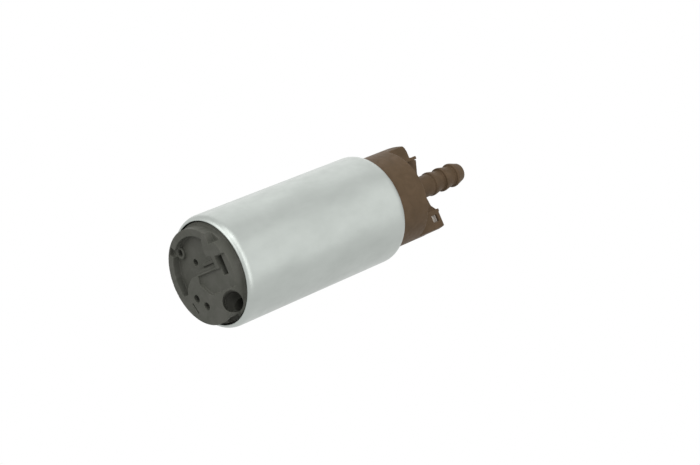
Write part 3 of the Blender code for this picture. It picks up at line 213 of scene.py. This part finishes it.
def plain_plastic(name, dark, pale, dull, glow):
    """Unfilled acetal or polyamide, injection moulded: waxy, smooth and slightly see-through."""
    made, tree, shader, place = begin(name, Subsurface_Weight=glow, Subsurface_Scale=0.6 * MM)
    flow = add(tree, "ShaderNodeTexNoise", {"Vector": place, "Scale": 160.0, "Detail": 3.0})
    ramp = add(tree, "ShaderNodeValToRGB", {"Fac": flow.outputs["Fac"]},
               stops=((0.3, dark), (0.7, pale)))
    waxy = add(tree, "ShaderNodeMapRange", {"Value": flow.outputs["Fac"], "From Min": 0.3,
                                            "From Max": 0.7, "To Min": dull - 0.05,
                                            "To Max": dull + 0.08})
    # The mould's spark-eroded skin has pits of 0.02 mm, drawn at 0.5 mm.
    pits = add(tree, "ShaderNodeTexNoise", {"Vector": place, "Scale": 2000.0, "Detail": 2.0})
    bump = add(tree, "ShaderNodeBump", {"Height": pits.outputs["Fac"], "Distance": 0.01 * MM})
    tree.links.new(ramp.outputs["Color"], shader.inputs["Base Color"])
    tree.links.new(waxy.outputs["Result"], shader.inputs["Roughness"])
    tree.links.new(bump.outputs["Normal"], shader.inputs["Normal"])
    return made


def lined_metal(name, dark, pale, dull, spread):
    """Metal that a tool, a wheel or a die has left with fine lines; spread sets their run."""
    made, tree, shader, place = begin(name, Metallic=1.0)
    run = add(tree, "ShaderNodeMapping", {"Vector": place, "Scale": spread})
    lines = add(tree, "ShaderNodeTexNoise", {"Vector": run.outputs[0], "Scale": 1.0,
                                             "Detail": 3.0})
    ramp = add(tree, "ShaderNodeValToRGB", {"Fac": lines.outputs["Fac"]},
               stops=((0.3, dark), (0.7, pale)))
    patches = add(tree, "ShaderNodeTexNoise", {"Vector": place, "Scale": 900.0, "Detail": 3.0})
    sheen = add(tree, "ShaderNodeMapRange", {"Value": patches.outputs["Fac"], "From Min": 0.3,
                                             "From Max": 0.7, "To Min": dull - 0.05,
                                             "To Max": dull + 0.08})
    bump = add(tree, "ShaderNodeBump", {"Height": lines.outputs["Fac"], "Distance": 0.004 * MM})
    tree.links.new(ramp.outputs["Color"], shader.inputs["Base Color"])
    tree.links.new(sheen.outputs["Result"], shader.inputs["Roughness"])
    tree.links.new(bump.outputs["Normal"], shader.inputs["Normal"])
    return made


def pressed_powder(name, dark, pale, dull, grain, metallic=0.0):
    """Powder pressed and fired: an even body with open pores and brighter grains."""
    made, tree, shader, place = begin(name, Metallic=metallic, Specular_IOR_Level=0.3)
    grains = add(tree, "ShaderNodeTexVoronoi", {"Vector": place, "Scale": 1.0 / grain})
    ramp = add(tree, "ShaderNodeValToRGB", {"Fac": grains.outputs["Distance"]},
               stops=((0.1, dark), (0.6, pale)))
    worn = add(tree, "ShaderNodeMapRange", {"Value": grains.outputs["Distance"],
                                            "To Min": dull - 0.08, "To Max": dull + 0.08})
    bump = add(tree, "ShaderNodeBump", {"Height": grains.outputs["Distance"],
                                        "Distance": 0.03 * MM})
    tree.links.new(ramp.outputs["Color"], shader.inputs["Base Color"])
    tree.links.new(worn.outputs["Result"], shader.inputs["Roughness"])
    tree.links.new(bump.outputs["Normal"], shader.inputs["Normal"])
    return made


def electrical_sheet():
    """Stamped silicon steel with a baked varnish: dark, bluish and half dull, with burr lines."""
    made, tree, shader, place = begin("lamination_steel", Metallic=1.0)
    stains = add(tree, "ShaderNodeTexNoise", {"Vector": place, "Scale": 300.0, "Detail": 4.0})
    ramp = add(tree, "ShaderNodeValToRGB", {"Fac": stains.outputs["Fac"]},
               stops=((0.3, "#4A4C51"), (0.7, "#6C7076")))
    varnish = add(tree, "ShaderNodeMapRange", {"Value": stains.outputs["Fac"], "From Min": 0.3,
                                               "From Max": 0.7, "To Min": 0.38, "To Max": 0.55})
    # Burrs run across each 0.5 mm sheet about every 0.1 mm.
    across = add(tree, "ShaderNodeMapping", {"Vector": place, "Scale": (10000.0, 10000.0, 300.0)})
    burrs = add(tree, "ShaderNodeTexNoise", {"Vector": across.outputs[0], "Scale": 1.0})
    bump = add(tree, "ShaderNodeBump", {"Height": burrs.outputs["Fac"], "Distance": 0.01 * MM})
    tree.links.new(ramp.outputs["Color"], shader.inputs["Base Color"])
    tree.links.new(varnish.outputs["Result"], shader.inputs["Roughness"])
    tree.links.new(bump.outputs["Normal"], shader.inputs["Normal"])
    return made


def enamelled_copper():
    """Drawn copper under clear enamel: orange brown, glossy, darker where it ran hot."""
    made, tree, shader, place = begin("enamelled_copper", Metallic=1.0, Coat_Weight=0.6,
                                      Coat_Roughness=0.12)
    baked = add(tree, "ShaderNodeTexNoise", {"Vector": place, "Scale": 350.0, "Detail": 3.0})
    ramp = add(tree, "ShaderNodeValToRGB", {"Fac": baked.outputs["Fac"]},
               stops=((0.3, "#8E481F"), (0.7, "#BC6E3C")))
    skin = add(tree, "ShaderNodeMapRange", {"Value": baked.outputs["Fac"], "From Min": 0.3,
                                            "From Max": 0.7, "To Min": 0.24, "To Max": 0.4})
    drops = add(tree, "ShaderNodeTexNoise", {"Vector": place, "Scale": 1500.0, "Detail": 1.0})
    bump = add(tree, "ShaderNodeBump", {"Height": drops.outputs["Fac"], "Distance": 0.01 * MM})
    tree.links.new(ramp.outputs["Color"], shader.inputs["Base Color"])
    tree.links.new(skin.outputs["Result"], shader.inputs["Roughness"])
    tree.links.new(bump.outputs["Normal"], shader.inputs["Normal"])
    return made


def fuel_rubber():
    """Fluorocarbon rubber, moulded and left oily: black, matt and softly mottled."""
    made, tree, shader, place = begin("fuel_rubber", Specular_IOR_Level=0.3)
    bloom = add(tree, "ShaderNodeTexNoise", {"Vector": place, "Scale": 600.0, "Detail": 4.0})
    ramp = add(tree, "ShaderNodeValToRGB", {"Fac": bloom.outputs["Fac"]},
               stops=((0.3, "#191A1A"), (0.7, "#2C2C2D")))
    oily = add(tree, "ShaderNodeMapRange", {"Value": bloom.outputs["Fac"], "From Min": 0.3,
                                            "From Max": 0.7, "To Min": 0.5, "To Max": 0.8})
    bump = add(tree, "ShaderNodeBump", {"Height": bloom.outputs["Fac"], "Distance": 0.02 * MM})
    tree.links.new(ramp.outputs["Color"], shader.inputs["Base Color"])
    tree.links.new(oily.outputs["Result"], shader.inputs["Roughness"])
    tree.links.new(bump.outputs["Normal"], shader.inputs["Normal"])
    return made


# How lines run: patterns per metre along X, Y and Z. Round the axis they change with height
# alone, and along a drawn piece they hardly change with height.
ROUND_LINES = (60.0, 60.0, 4000.0)
DRAWN_LINES = (3000.0, 3000.0, 300.0)

finishes = {
    "zinc_plated_steel": plated_steel(),
    # Natural grey grade of the inlet cover
    "grey_pps": filled_plastic("grey_pps", "#51524B", "#5C5C56", 0.6),
    # Carbon-filled grade of the impeller, its housing and the commutator: nearly black
    "dark_pps": filled_plastic("dark_pps", "#343433", "#403F3E", 0.55),
    # Brown grade of the outlet cover
    "brown_pps": filled_plastic("brown_pps", "#574735", "#64523F", 0.56),
    # Natural acetal: off-white and waxy
    "natural_acetal": plain_plastic("natural_acetal", "#DAD6C6", "#E6E2D4", 0.38, 0.15),
    # Natural polyamide: milky, a little yellow
    "white_polyamide": plain_plastic("white_polyamide", "#CFCDC0", "#DAD8CC", 0.45, 0.2),
    # Ground bar: bright, with fine rings round its axis
    "ground_steel": lined_metal("ground_steel", "#A4A6A8", "#B8BABC", 0.2, ROUND_LINES),
    # Drawn spring wire and strip: darker, with lines along it
    "spring_steel": lined_metal("spring_steel", "#86888B", "#A2A4A7", 0.28, DRAWN_LINES),
    "lamination_steel": electrical_sheet(),
    "enamelled_copper": enamelled_copper(),
    # Bonded ferrite: charcoal grey, slightly glittering
    "ferrite": pressed_powder("ferrite", "#2E2D2F", "#403F42", 0.6, 0.4 * MM),
    # Oil-filled bronze: brown, with open pores
    "sintered_bronze": pressed_powder("sintered_bronze", "#7A5C38", "#A8844F", 0.45, 0.25 * MM,
                                      1.0),
    # Electrographite: black with a faint grey shine
    "carbon": pressed_powder("carbon", "#1E1E20", "#323235", 0.5, 0.3 * MM),
    # Tin over brass: pale, soft and dulled by handling, rolled lengthways
    "tinned_brass": lined_metal("tinned_brass", "#D8D0C6", "#E8E2DA", 0.5, DRAWN_LINES),
    # Turned brass: yellow, with fine rings from the tool
    "brass": lined_metal("brass", "#B8944A", "#CCA85E", 0.26, ROUND_LINES),
    "fuel_rubber": fuel_rubber(),
}
slot_of = {part["node"]: part["material_slot"] for part in frame["record"]["subparts"]}
body_of = {node: body for body, nodes in frame["record"]["behaviour"]["bodies"].items()
           for node in nodes}
for name, node in frame["nodes"].items():
    node.data.materials.clear()
    node.data.materials.append(finishes[slot_of[name]])


def shade(mesh, angle=35.0):
    mesh.shade_smooth()
    mesh.set_sharp_from_angle(angle=math.radians(angle))


def link(name, mesh):
    made = bpy.data.objects.new(name, mesh)
    bpy.context.scene.collection.objects.link(made)
    return made


def settled(obj, name):
    """The mesh that an object's modifiers give; the object goes."""
    bpy.context.view_layer.update()
    depsgraph = bpy.context.evaluated_depsgraph_get()
    mesh = bpy.data.meshes.new_from_object(obj.evaluated_get(depsgraph), depsgraph=depsgraph)
    mesh.name = name
    bpy.data.objects.remove(obj)
    return mesh


def place_piece(name, mesh, node):
    """Show a mesh in place of a CAD node, in its finish and on its body."""
    piece = link(name, mesh)
    mesh.materials.clear()
    mesh.materials.append(finishes[slot_of[node]])
    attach(piece, body_of[node])
    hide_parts(node)
    return piece


def turned(name, profile, steps):
    """Spin a closed (radius, height) profile round the pump's axis."""
    bm = bmesh.new()
    verts = [bm.verts.new((radius, 0.0, height)) for radius, height in profile]
    edges = [bm.edges.new(pair) for pair in zip(verts, verts[1:] + verts[:1])]
    bmesh.ops.spin(bm, geom=verts + edges, axis=(0.0, 0.0, 1.0), cent=(0.0, 0.0, 0.0),
                   angle=2 * math.pi, steps=steps, use_merge=True)
    bmesh.ops.remove_doubles(bm, verts=bm.verts, dist=1e-8)
    bmesh.ops.recalc_face_normals(bm, faces=bm.faces)
    mesh = bpy.data.meshes.new(name)
    bm.to_mesh(mesh)
    bm.free()
    shade(mesh)
    return mesh


def rolled_end(reach, length, height, towards):
    """A rolled shell end from the full radius round to its softened lip."""
    points = []
    lip = SHELL_RADIUS - reach
    for i in range(CURL_STEPS):
        angle = math.pi / 2 * i / CURL_STEPS
        radius = lip + reach * math.cos(angle)
        points.append((radius, height - towards * length * (1 - math.sin(angle))))
    points.append((lip + LIP_ROUNDING, height))
    points.append((lip + 0.3 * LIP_ROUNDING, height - towards * 0.3 * LIP_ROUNDING))
    points.append((lip, height - towards * LIP_ROUNDING))
    return points


def rolled_shell():
    front = rolled_end(*FRONT_CURL, SHELL_START, -1)
    rear = rolled_end(*REAR_CURL, SHELL_END, 1)
    end_bore = SHELL_RADIUS - END_WALL
    front_lip = SHELL_RADIUS - FRONT_CURL[0]
    rear_lip = SHELL_RADIUS - REAR_CURL[0]
    inside = [
        (front_lip, SHELL_START + END_WALL),
        (end_bore, SHELL_START + END_WALL + end_bore - front_lip),
        (end_bore, SHOULDERS[0]), (BORE_RADIUS, SHOULDERS[0]), (BORE_RADIUS, SHOULDERS[1]),
        (end_bore, SHOULDERS[1]), (end_bore, SHELL_END - END_WALL - (end_bore - rear_lip) / 2),
        (rear_lip, SHELL_END - END_WALL),
    ]
    place_piece("rolled_shell", turned("rolled_shell", rear[::-1] + front + inside, SHELL_STEPS),
                "shell_tube")


def merged_copy(name, node):
    """A copy of a CAD solid whose loose triangles are joined."""
    bm = bmesh.new()
    bm.from_mesh(frame["nodes"][node].data)
    bmesh.ops.remove_doubles(bm, verts=bm.verts, dist=1e-7)
    mesh = bpy.data.meshes.new(name)
    bm.to_mesh(mesh)
    bm.free()
    return link(name, mesh)


def unfacet(places, chosen, sides, centre=(0.0, 0.0)):
    """Push the chosen points outwards, so that a prism's flats become round."""
    offset = places[chosen, :2] - centre
    pitch = 2 * math.pi / sides
    angle = np.arctan2(offset[:, 1], offset[:, 0]) % pitch - pitch / 2
    grown = np.cos(angle) / math.cos(pitch / 2)
    places[chosen, :2] = centre + offset * grown[:, None]


def carving(outline, depth):
    """A body that cuts one form into the inlet face."""
    base = [(-up * FACE_SPREAD * MM, -right * FACE_SPREAD * MM) for right, up in outline]
    bm = bmesh.new()
    rings = [[bm.verts.new((x, y, height)) for x, y in base]
             for height in (-CARVING_START, depth)]
    for ring in rings:
        bm.faces.new(ring)
    for i in range(len(base)):
        bm.faces.new((rings[0][i - 1], rings[0][i], rings[1][i], rings[1][i - 1]))
    bmesh.ops.recalc_face_normals(bm, faces=bm.faces)
    mesh = bpy.data.meshes.new("carving")
    bm.to_mesh(mesh)
    bm.free()
    return link("carving", mesh)


def softened(name, node, softness, carvings=()):
    """A moulded cover with the edges that a mould leaves, and round where the CAD has flats."""
    cell, rounds, share = softness
    copy = merged_copy(name, node)
    tools = [carving(outline, depth) for outline, depth in carvings]
    for tool in tools:
        cut = copy.modifiers.new("carving", "BOOLEAN")
        cut.operation = "DIFFERENCE"
        cut.object = tool
    cells = copy.modifiers.new("cells", "REMESH")
    cells.mode = "VOXEL"
    cells.voxel_size = cell
    soft = copy.modifiers.new("soft edges", "SMOOTH")
    soft.factor = 0.5
    soft.iterations = rounds
    fine = settled(copy, name)
    for tool in tools:
        bpy.data.objects.remove(tool)
    places = np.empty(len(fine.vertices) * 3)
    fine.vertices.foreach_get("co", places)
    places = places.reshape(-1, 3)
    from_nipple = np.hypot(places[:, 0] - NIPPLE_PLACE[0], places[:, 1] - NIPPLE_PLACE[1])
    on_nipple = (from_nipple < NIPPLE_REACH) & (places[:, 2] > BARREL_TOP)
    unfacet(places, ~on_nipple, COVER_SIDES)
    unfacet(places, on_nipple, NIPPLE_SIDES, NIPPLE_PLACE)
    fine.vertices.foreach_set("co", places.ravel())
    light = link(name, fine)
    fewer = light.modifiers.new("fewer faces", "DECIMATE")
    fewer.ratio = share
    fine.shade_smooth()
    even = light.modifiers.new("flat faces first", "WEIGHTED_NORMAL")
    even.weight = 60
    return place_piece(name, settled(light, name), node)


rolled_shell()
softened("inlet_moulding", "inlet_cover", INLET_SOFTNESS, FACE_CARVINGS)
softened("outlet_moulding", "outlet_cover", OUTLET_SOFTNESS)


def new_tree(name, sizes, takes_mesh):
    """A Geometry Nodes tree with named inputs: its sizes, and a mesh where it takes one."""
    tree = bpy.data.node_groups.new(name, "GeometryNodeTree")
    tree.interface.new_socket("Geometry", in_out="OUTPUT", socket_type="NodeSocketGeometry")
    if takes_mesh:
        tree.interface.new_socket("Geometry", in_out="INPUT", socket_type="NodeSocketGeometry")
    for size, kind in sizes.items():
        tree.interface.new_socket(size, in_out="INPUT", socket_type=f"NodeSocket{kind}")
    return tree, add(tree, "NodeGroupInput").outputs


def end_tree(tree, shape, material):
    """Make the shape real, smooth and of one material, and hand it out."""
    real = add(tree, "GeometryNodeRealizeInstances", {"Geometry": shape})
    smooth = add(tree, "GeometryNodeSetShadeSmooth", {"Geometry": real.outputs[0]})
    dressed = add(tree, "GeometryNodeSetMaterial", {"Geometry": smooth.outputs[0],
                                                    "Material": material})
    add(tree, "NodeGroupOutput", {"Geometry": dressed.outputs[0]})


def grown(name, mesh, tree, **sizes):
    """The mesh that a tree makes with these sizes, each set by its socket's identifier."""
    obj = link(name, mesh)
    modifier = obj.modifiers.new(tree.name, "NODES")
    modifier.node_group = tree
    for item in tree.interface.items_tree:
        key = item.name.replace(" ", "_").lower()
        if item.in_out == "INPUT" and key in sizes:
            modifier[item.identifier] = sizes[key]
    return settled(obj, name)


def coil_tree():
    """Wire wound round an upright axis, with closed turns at both ends."""
    tree, given = new_tree("coil", {
        "Turns": "Float", "Closed turns": "Float", "Coil radius": "Float",
        "Wire radius": "Float", "Low": "Float", "High": "Float", "Centre": "Vector",
        "Points": "Int", "Material": "Material"}, False)
    straight = add(tree, "GeometryNodeCurvePrimitiveLine")
    line = add(tree, "GeometryNodeResampleCurve", {"Curve": straight.outputs[0],
                                                   "Count": given["Points"]})
    share = add(tree, "GeometryNodeSplineParameter").outputs["Factor"]
    turn = add(tree, "ShaderNodeMath", {0: share, 1: given["Turns"]},
               operation="MULTIPLY").outputs[0]
    angle = add(tree, "ShaderNodeMath", {0: turn, 1: 2 * math.pi},
                operation="MULTIPLY").outputs[0]
    # The wire's middle rises by 2.1 wire radii for each closed turn, so that turns never touch.
    closed_rise = add(tree, "ShaderNodeMath", {0: given["Wire radius"], 1: 2.1},
                      operation="MULTIPLY").outputs[0]
    closed_height = add(tree, "ShaderNodeMath", {0: closed_rise, 1: given["Closed turns"]},
                        operation="MULTIPLY").outputs[0]
    low = add(tree, "ShaderNodeMath", {0: given["Low"], 1: given["Wire radius"]},
              operation="ADD").outputs[0]
    high = add(tree, "ShaderNodeMath", {0: given["High"], 1: given["Wire radius"]},
               operation="SUBTRACT").outputs[0]
    open_low = add(tree, "ShaderNodeMath", {0: low, 1: closed_height},
                   operation="ADD").outputs[0]
    open_high = add(tree, "ShaderNodeMath", {0: high, 1: closed_height},
                    operation="SUBTRACT").outputs[0]
    open_end = add(tree, "ShaderNodeMath", {0: given["Turns"], 1: given["Closed turns"]},
                   operation="SUBTRACT").outputs[0]
    first = add(tree, "ShaderNodeMapRange", {"Value": turn, "From Min": 0.0,
                                             "From Max": given["Closed turns"], "To Min": low,
                                             "To Max": open_low})
    middle = add(tree, "ShaderNodeMapRange", {"Value": turn, "From Min": given["Closed turns"],
                                              "From Max": open_end, "To Min": 0.0,
                                              "To Max": 1.0})
    last = add(tree, "ShaderNodeMapRange", {"Value": turn, "From Min": open_end,
                                            "From Max": given["Turns"], "To Min": 0.0,
                                            "To Max": closed_height})
    open_rise = add(tree, "ShaderNodeMath", {0: open_high, 1: open_low},
                    operation="SUBTRACT").outputs[0]
    opened = add(tree, "ShaderNodeMath", {0: middle.outputs[0], 1: open_rise,
                                          2: first.outputs[0]}, operation="MULTIPLY_ADD")
    height = add(tree, "ShaderNodeMath", {0: opened.outputs[0], 1: last.outputs[0]},
                 operation="ADD").outputs[0]
    cosine = add(tree, "ShaderNodeMath", {0: angle}, operation="COSINE").outputs[0]
    sine = add(tree, "ShaderNodeMath", {0: angle}, operation="SINE").outputs[0]
    x = add(tree, "ShaderNodeMath", {0: cosine, 1: given["Coil radius"]}, operation="MULTIPLY")
    y = add(tree, "ShaderNodeMath", {0: sine, 1: given["Coil radius"]}, operation="MULTIPLY")
    upright = add(tree, "ShaderNodeCombineXYZ", {"X": x.outputs[0], "Y": y.outputs[0],
                                                 "Z": height})
    place = add(tree, "ShaderNodeVectorMath", {0: upright.outputs[0], 1: given["Centre"]},
                operation="ADD")
    wound = add(tree, "GeometryNodeSetPosition", {"Geometry": line.outputs[0],
                                                  "Position": place.outputs[0]})
    section = add(tree, "GeometryNodeCurvePrimitiveCircle", {"Resolution": 10,
                                                             "Radius": given["Wire radius"]})
    wire = add(tree, "GeometryNodeCurveToMesh", {"Curve": wound.outputs[0],
                                                 "Profile Curve": section.outputs[0],
                                                 "Fill Caps": True})
    end_tree(tree, wire.outputs[0], given["Material"])
    return tree


def copies_tree():
    """Copies of a shape, each one step higher and one turn further round the axis."""
    tree, given = new_tree("copies", {"Count": "Int", "Step": "Float", "Turn": "Float",
                                      "Material": "Material"}, True)
    step = add(tree, "ShaderNodeCombineXYZ", {"Z": given["Step"]})
    line = add(tree, "GeometryNodeMeshLine", {"Count": given["Count"],
                                              "Offset": step.outputs[0]})
    number = add(tree, "GeometryNodeInputIndex")
    angle = add(tree, "ShaderNodeMath", {0: number.outputs[0], 1: given["Turn"]},
                operation="MULTIPLY")
    turn = add(tree, "ShaderNodeCombineXYZ", {"Z": angle.outputs[0]})
    placed = add(tree, "GeometryNodeInstanceOnPoints", {"Points": line.outputs[0],
                                                        "Instance": given["Geometry"],
                                                        "Rotation": turn.outputs[0]})
    end_tree(tree, placed.outputs[0], given["Material"])
    return tree


def wire_tree():
    """Round wire along every path of a mesh of edges."""
    tree, given = new_tree("wire", {"Wire radius": "Float", "Material": "Material"}, True)
    paths = add(tree, "GeometryNodeMeshToCurve", {"Mesh": given["Geometry"]})
    section = add(tree, "GeometryNodeCurvePrimitiveCircle", {"Resolution": 7,
                                                             "Radius": given["Wire radius"]})
    wire = add(tree, "GeometryNodeCurveToMesh", {"Curve": paths.outputs[0],
                                                 "Profile Curve": section.outputs[0]})
    end_tree(tree, wire.outputs[0], given["Material"])
    return tree


coil = coil_tree()
copies = copies_tree()
wire = wire_tree()
POINTS_PER_TURN = 32


def wound_coil(name, node, turns, closed_turns, wire_radius):
    """A coil that fills the CAD coil's own box."""
    low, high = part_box(node)
    centre = ((low[0] + high[0]) / 2, (low[1] + high[1]) / 2, 0.0)
    mesh = grown(name, bpy.data.meshes.new(name), coil, turns=turns, closed_turns=closed_turns,
                 coil_radius=(high[0] - low[0]) / 2 - wire_radius, wire_radius=wire_radius,
                 low=low[2], high=high[2], centre=centre,
                 points=int(turns * POINTS_PER_TURN) + 1, material=finishes[slot_of[node]])
    return place_piece(name, mesh, node)


def brush_lead(node):
    """A brush's lead as one smooth wire, from its CAD solid."""
    mesh = settled(merged_copy(f"{node}_wire", node), f"{node}_wire")
    shade(mesh, 60.0)
    return place_piece(f"{node}_wire", mesh, node)


def sprung(joint):
    """Wire coils and leads in place of a joint's deforming CAD pieces, each with a mesh of its
    own.
    """
    turns_of = {"check_spring": 6.0, "relief_spring": 5.5, "brush_spring_1": 6.0,
                "brush_spring_2": 6.0}
    for deforming in joint.get("deforming_nodes", []):
        node = deforming["node"]
        if node in turns_of:
            piece = wound_coil(f"{node}_wire", node, turns_of[node], 1.0, SPRING_WIRE_RADIUS)
        else:
            piece = brush_lead(node)
        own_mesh(piece)


for joint in frame["record"]["behaviour"]["joints"]:
    sprung(joint)
for number in (1, 2):
    wound_coil(f"choke_coil_wire_{number}", f"choke_coil_{number}", 8.0, 0.0,
               CHOKE_WIRE_RADIUS)


def coil_loop(radius, side, drop, ends):
    """One turn of the winding: down a slot, under the core, up another slot and over the top."""
    low, high = ends
    span = 2 * math.pi * SLOT_SPAN / SLOTS
    shaft_side = SHAFT_CLEARANCE + 0.5 * drop
    points = []
    for upper in (True, False):
        for i in range(COIL_STEPS + 1):
            share = i / COIL_STEPS if upper else 1 - i / COIL_STEPS
            lift = 1 - (2 * share - 1) ** 4
            angle = math.pi / SLOTS + span * share
            bend = math.sin(math.pi * share)
            reach = radius + (min(radius, shaft_side) - radius) * bend
            lean = side * (1 - 2 * share)
            edge, crown = (high[0], high[1] - drop) if upper else (low[1], low[0] + drop)
            points.append((reach * math.cos(angle) - lean * math.sin(angle),
                           reach * math.sin(angle) + lean * math.cos(angle),
                           edge + (crown - edge) * lift))
    return points


def armature():
    """Sheets of the core and wires of the winding, each as its own shape."""
    low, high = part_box("armature_core")
    bm = bmesh.new()
    bm.from_mesh(frame["nodes"]["armature_core"].data)
    bmesh.ops.remove_doubles(bm, verts=bm.verts, dist=1e-7)
    count = round((high[2] - low[2]) / SHEET_THICKNESS)
    pitch = (high[2] - low[2]) / count
    for vert in bm.verts:
        if vert.co.z > (low[2] + high[2]) / 2:
            vert.co.z = low[2] + pitch - SHEET_SEAM
    sheet = bpy.data.meshes.new("core_sheet")
    bm.to_mesh(sheet)
    bm.free()
    stack = grown("core_sheets", sheet, copies, count=count, step=pitch, turn=0.0,
                  material=finishes["lamination_steel"])
    shade(stack)
    place_piece("core_sheets", stack, "armature_core")

    low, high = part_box("armature_winding")
    ends = ((low[2] + WIRE_RADIUS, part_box("insulator_lower")[0][2] - WIRE_RADIUS),
            (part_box("insulator_upper")[1][2] + WIRE_RADIUS, high[2] - WIRE_RADIUS))
    first, last, rows = SLOT_ROWS
    paths = bmesh.new()
    for row in range(rows):
        radius = first + (last - first) * row / (rows - 1)
        room = radius * math.tan(math.pi / SLOTS) - NECK_HALF_WIDTH / math.cos(math.pi / SLOTS)
        columns = max(1, int((room - WIRE_RADIUS) / WIRE_PITCH))
        for column in range(columns):
            side = (column + FIRST_WIRE) * WIRE_PITCH
            drop = (rows - 1 - row) * ROW_DROP + column * COLUMN_DROP
            verts = [paths.verts.new(point) for point in coil_loop(radius, side, drop, ends)]
            for pair in zip(verts, verts[1:] + verts[:1]):
                paths.edges.new(pair)
    mesh = bpy.data.meshes.new("coil_paths")
    paths.to_mesh(mesh)
    paths.free()
    one = grown("one_coil", mesh, wire, wire_radius=WIRE_RADIUS,
                material=finishes["enamelled_copper"])
    wound = grown("wound_wires", one, copies, count=SLOTS, step=0.0, turn=2 * math.pi / SLOTS,
                  material=finishes["enamelled_copper"])
    place_piece("wound_wires", wound, "armature_winding")


armature()


def soft_box(name, direction, distance, width, height, radiance):
    """A flat lamp that faces the pump's middle; radiance 1 looks white."""
    middle = Vector((0.0, 0.0, 0.055))
    lamp = bpy.data.lights.new(name, "AREA")
    lamp.shape = "RECTANGLE"
    lamp.size = width
    lamp.size_y = height
    lamp.energy = radiance * math.pi * width * height
    box = bpy.data.objects.new(name, lamp)
    bpy.context.scene.collection.objects.link(box)
    towards = Vector(direction).normalized()
    box.location = middle + towards * distance
    box.rotation_euler = towards.to_track_quat("Z", "Y").to_euler()


def studio():
    """Pale floor that only shows from above, a white surround and soft lamps."""
    mesh = bpy.data.meshes.new("floor")
    mesh.from_pydata([(-2.0, -2.0, 0.0), (2.0, -2.0, 0.0), (2.0, 2.0, 0.0), (-2.0, 2.0, 0.0)],
                     [], [(0, 1, 2, 3)])
    floor = link("floor", mesh)
    floor.location.z = -0.3 * MM
    for ray in ("diffuse", "glossy", "transmission", "shadow"):
        setattr(floor, f"visible_{ray}", False)
    made = bpy.data.materials.new("pale_floor")
    made.use_nodes = True
    tree = made.node_tree
    tree.nodes.clear()
    below = add(tree, "ShaderNodeNewGeometry").outputs["Backfacing"]
    paper = add(tree, "ShaderNodeBsdfDiffuse", {"Color": linear("#F6F6F5")})
    clear = add(tree, "ShaderNodeBsdfTransparent")
    either = add(tree, "ShaderNodeMixShader", {0: below, 1: paper.outputs[0],
                                               2: clear.outputs[0]})
    add(tree, "ShaderNodeOutputMaterial", {"Surface": either.outputs[0]})
    mesh.materials.append(made)

    world = bpy.data.worlds.new("white_surround")
    bpy.context.scene.world = world
    world.use_nodes = True
    tree = world.node_tree
    tree.nodes.clear()
    ray = add(tree, "ShaderNodeLightPath")
    seen = add(tree, "ShaderNodeMath", {0: ray.outputs["Is Camera Ray"],
                                        1: ray.outputs["Is Glossy Ray"]}, operation="MAXIMUM")
    seen = add(tree, "ShaderNodeMath", {0: seen.outputs[0],
                                        1: ray.outputs["Is Transmission Ray"]},
               operation="MAXIMUM")
    light = add(tree, "ShaderNodeBackground", {"Color": linear("#FFFFFF"), "Strength": 0.46})
    shown = add(tree, "ShaderNodeBackground", {"Color": linear("#FFFFFF"), "Strength": 1.0})
    either = add(tree, "ShaderNodeMixShader", {0: seen.outputs[0], 1: light.outputs[0],
                                               2: shown.outputs[0]})
    add(tree, "ShaderNodeOutputWorld", {"Surface": either.outputs[0]})

    soft_box("lamp_inlet", (-0.57, -0.12, -0.80), 0.7, 0.6, 0.6, 1.6)
    soft_box("lamp_grazing", (-0.74, -0.65, -0.20), 0.8, 0.5, 0.5, 1.9)
    soft_box("lamp_front", (0.12, -0.93, -0.27), 0.8, 1.0, 0.35, 1.8)
    soft_box("lamp_above_front", (0.05, -0.78, 0.63), 0.8, 1.0, 0.6, 0.4)
    soft_box("lamp_above_left", (-0.68, 0.35, 0.63), 0.8, 0.9, 0.6, 0.45)


def camera():
    lens = bpy.data.cameras.new("camera")
    lens.lens = CAMERA_LENS
    lens.sensor_width = 36.0
    lens.clip_start = 0.01
    eye = bpy.data.objects.new("camera", lens)
    bpy.context.scene.collection.objects.link(eye)
    eye.location = CAMERA_PLACE
    eye.rotation_euler = [math.radians(angle) for angle in CAMERA_TURN]
    bpy.context.scene.camera = eye


studio()
camera()
bpy.context.scene.view_settings.view_transform = "Standard"
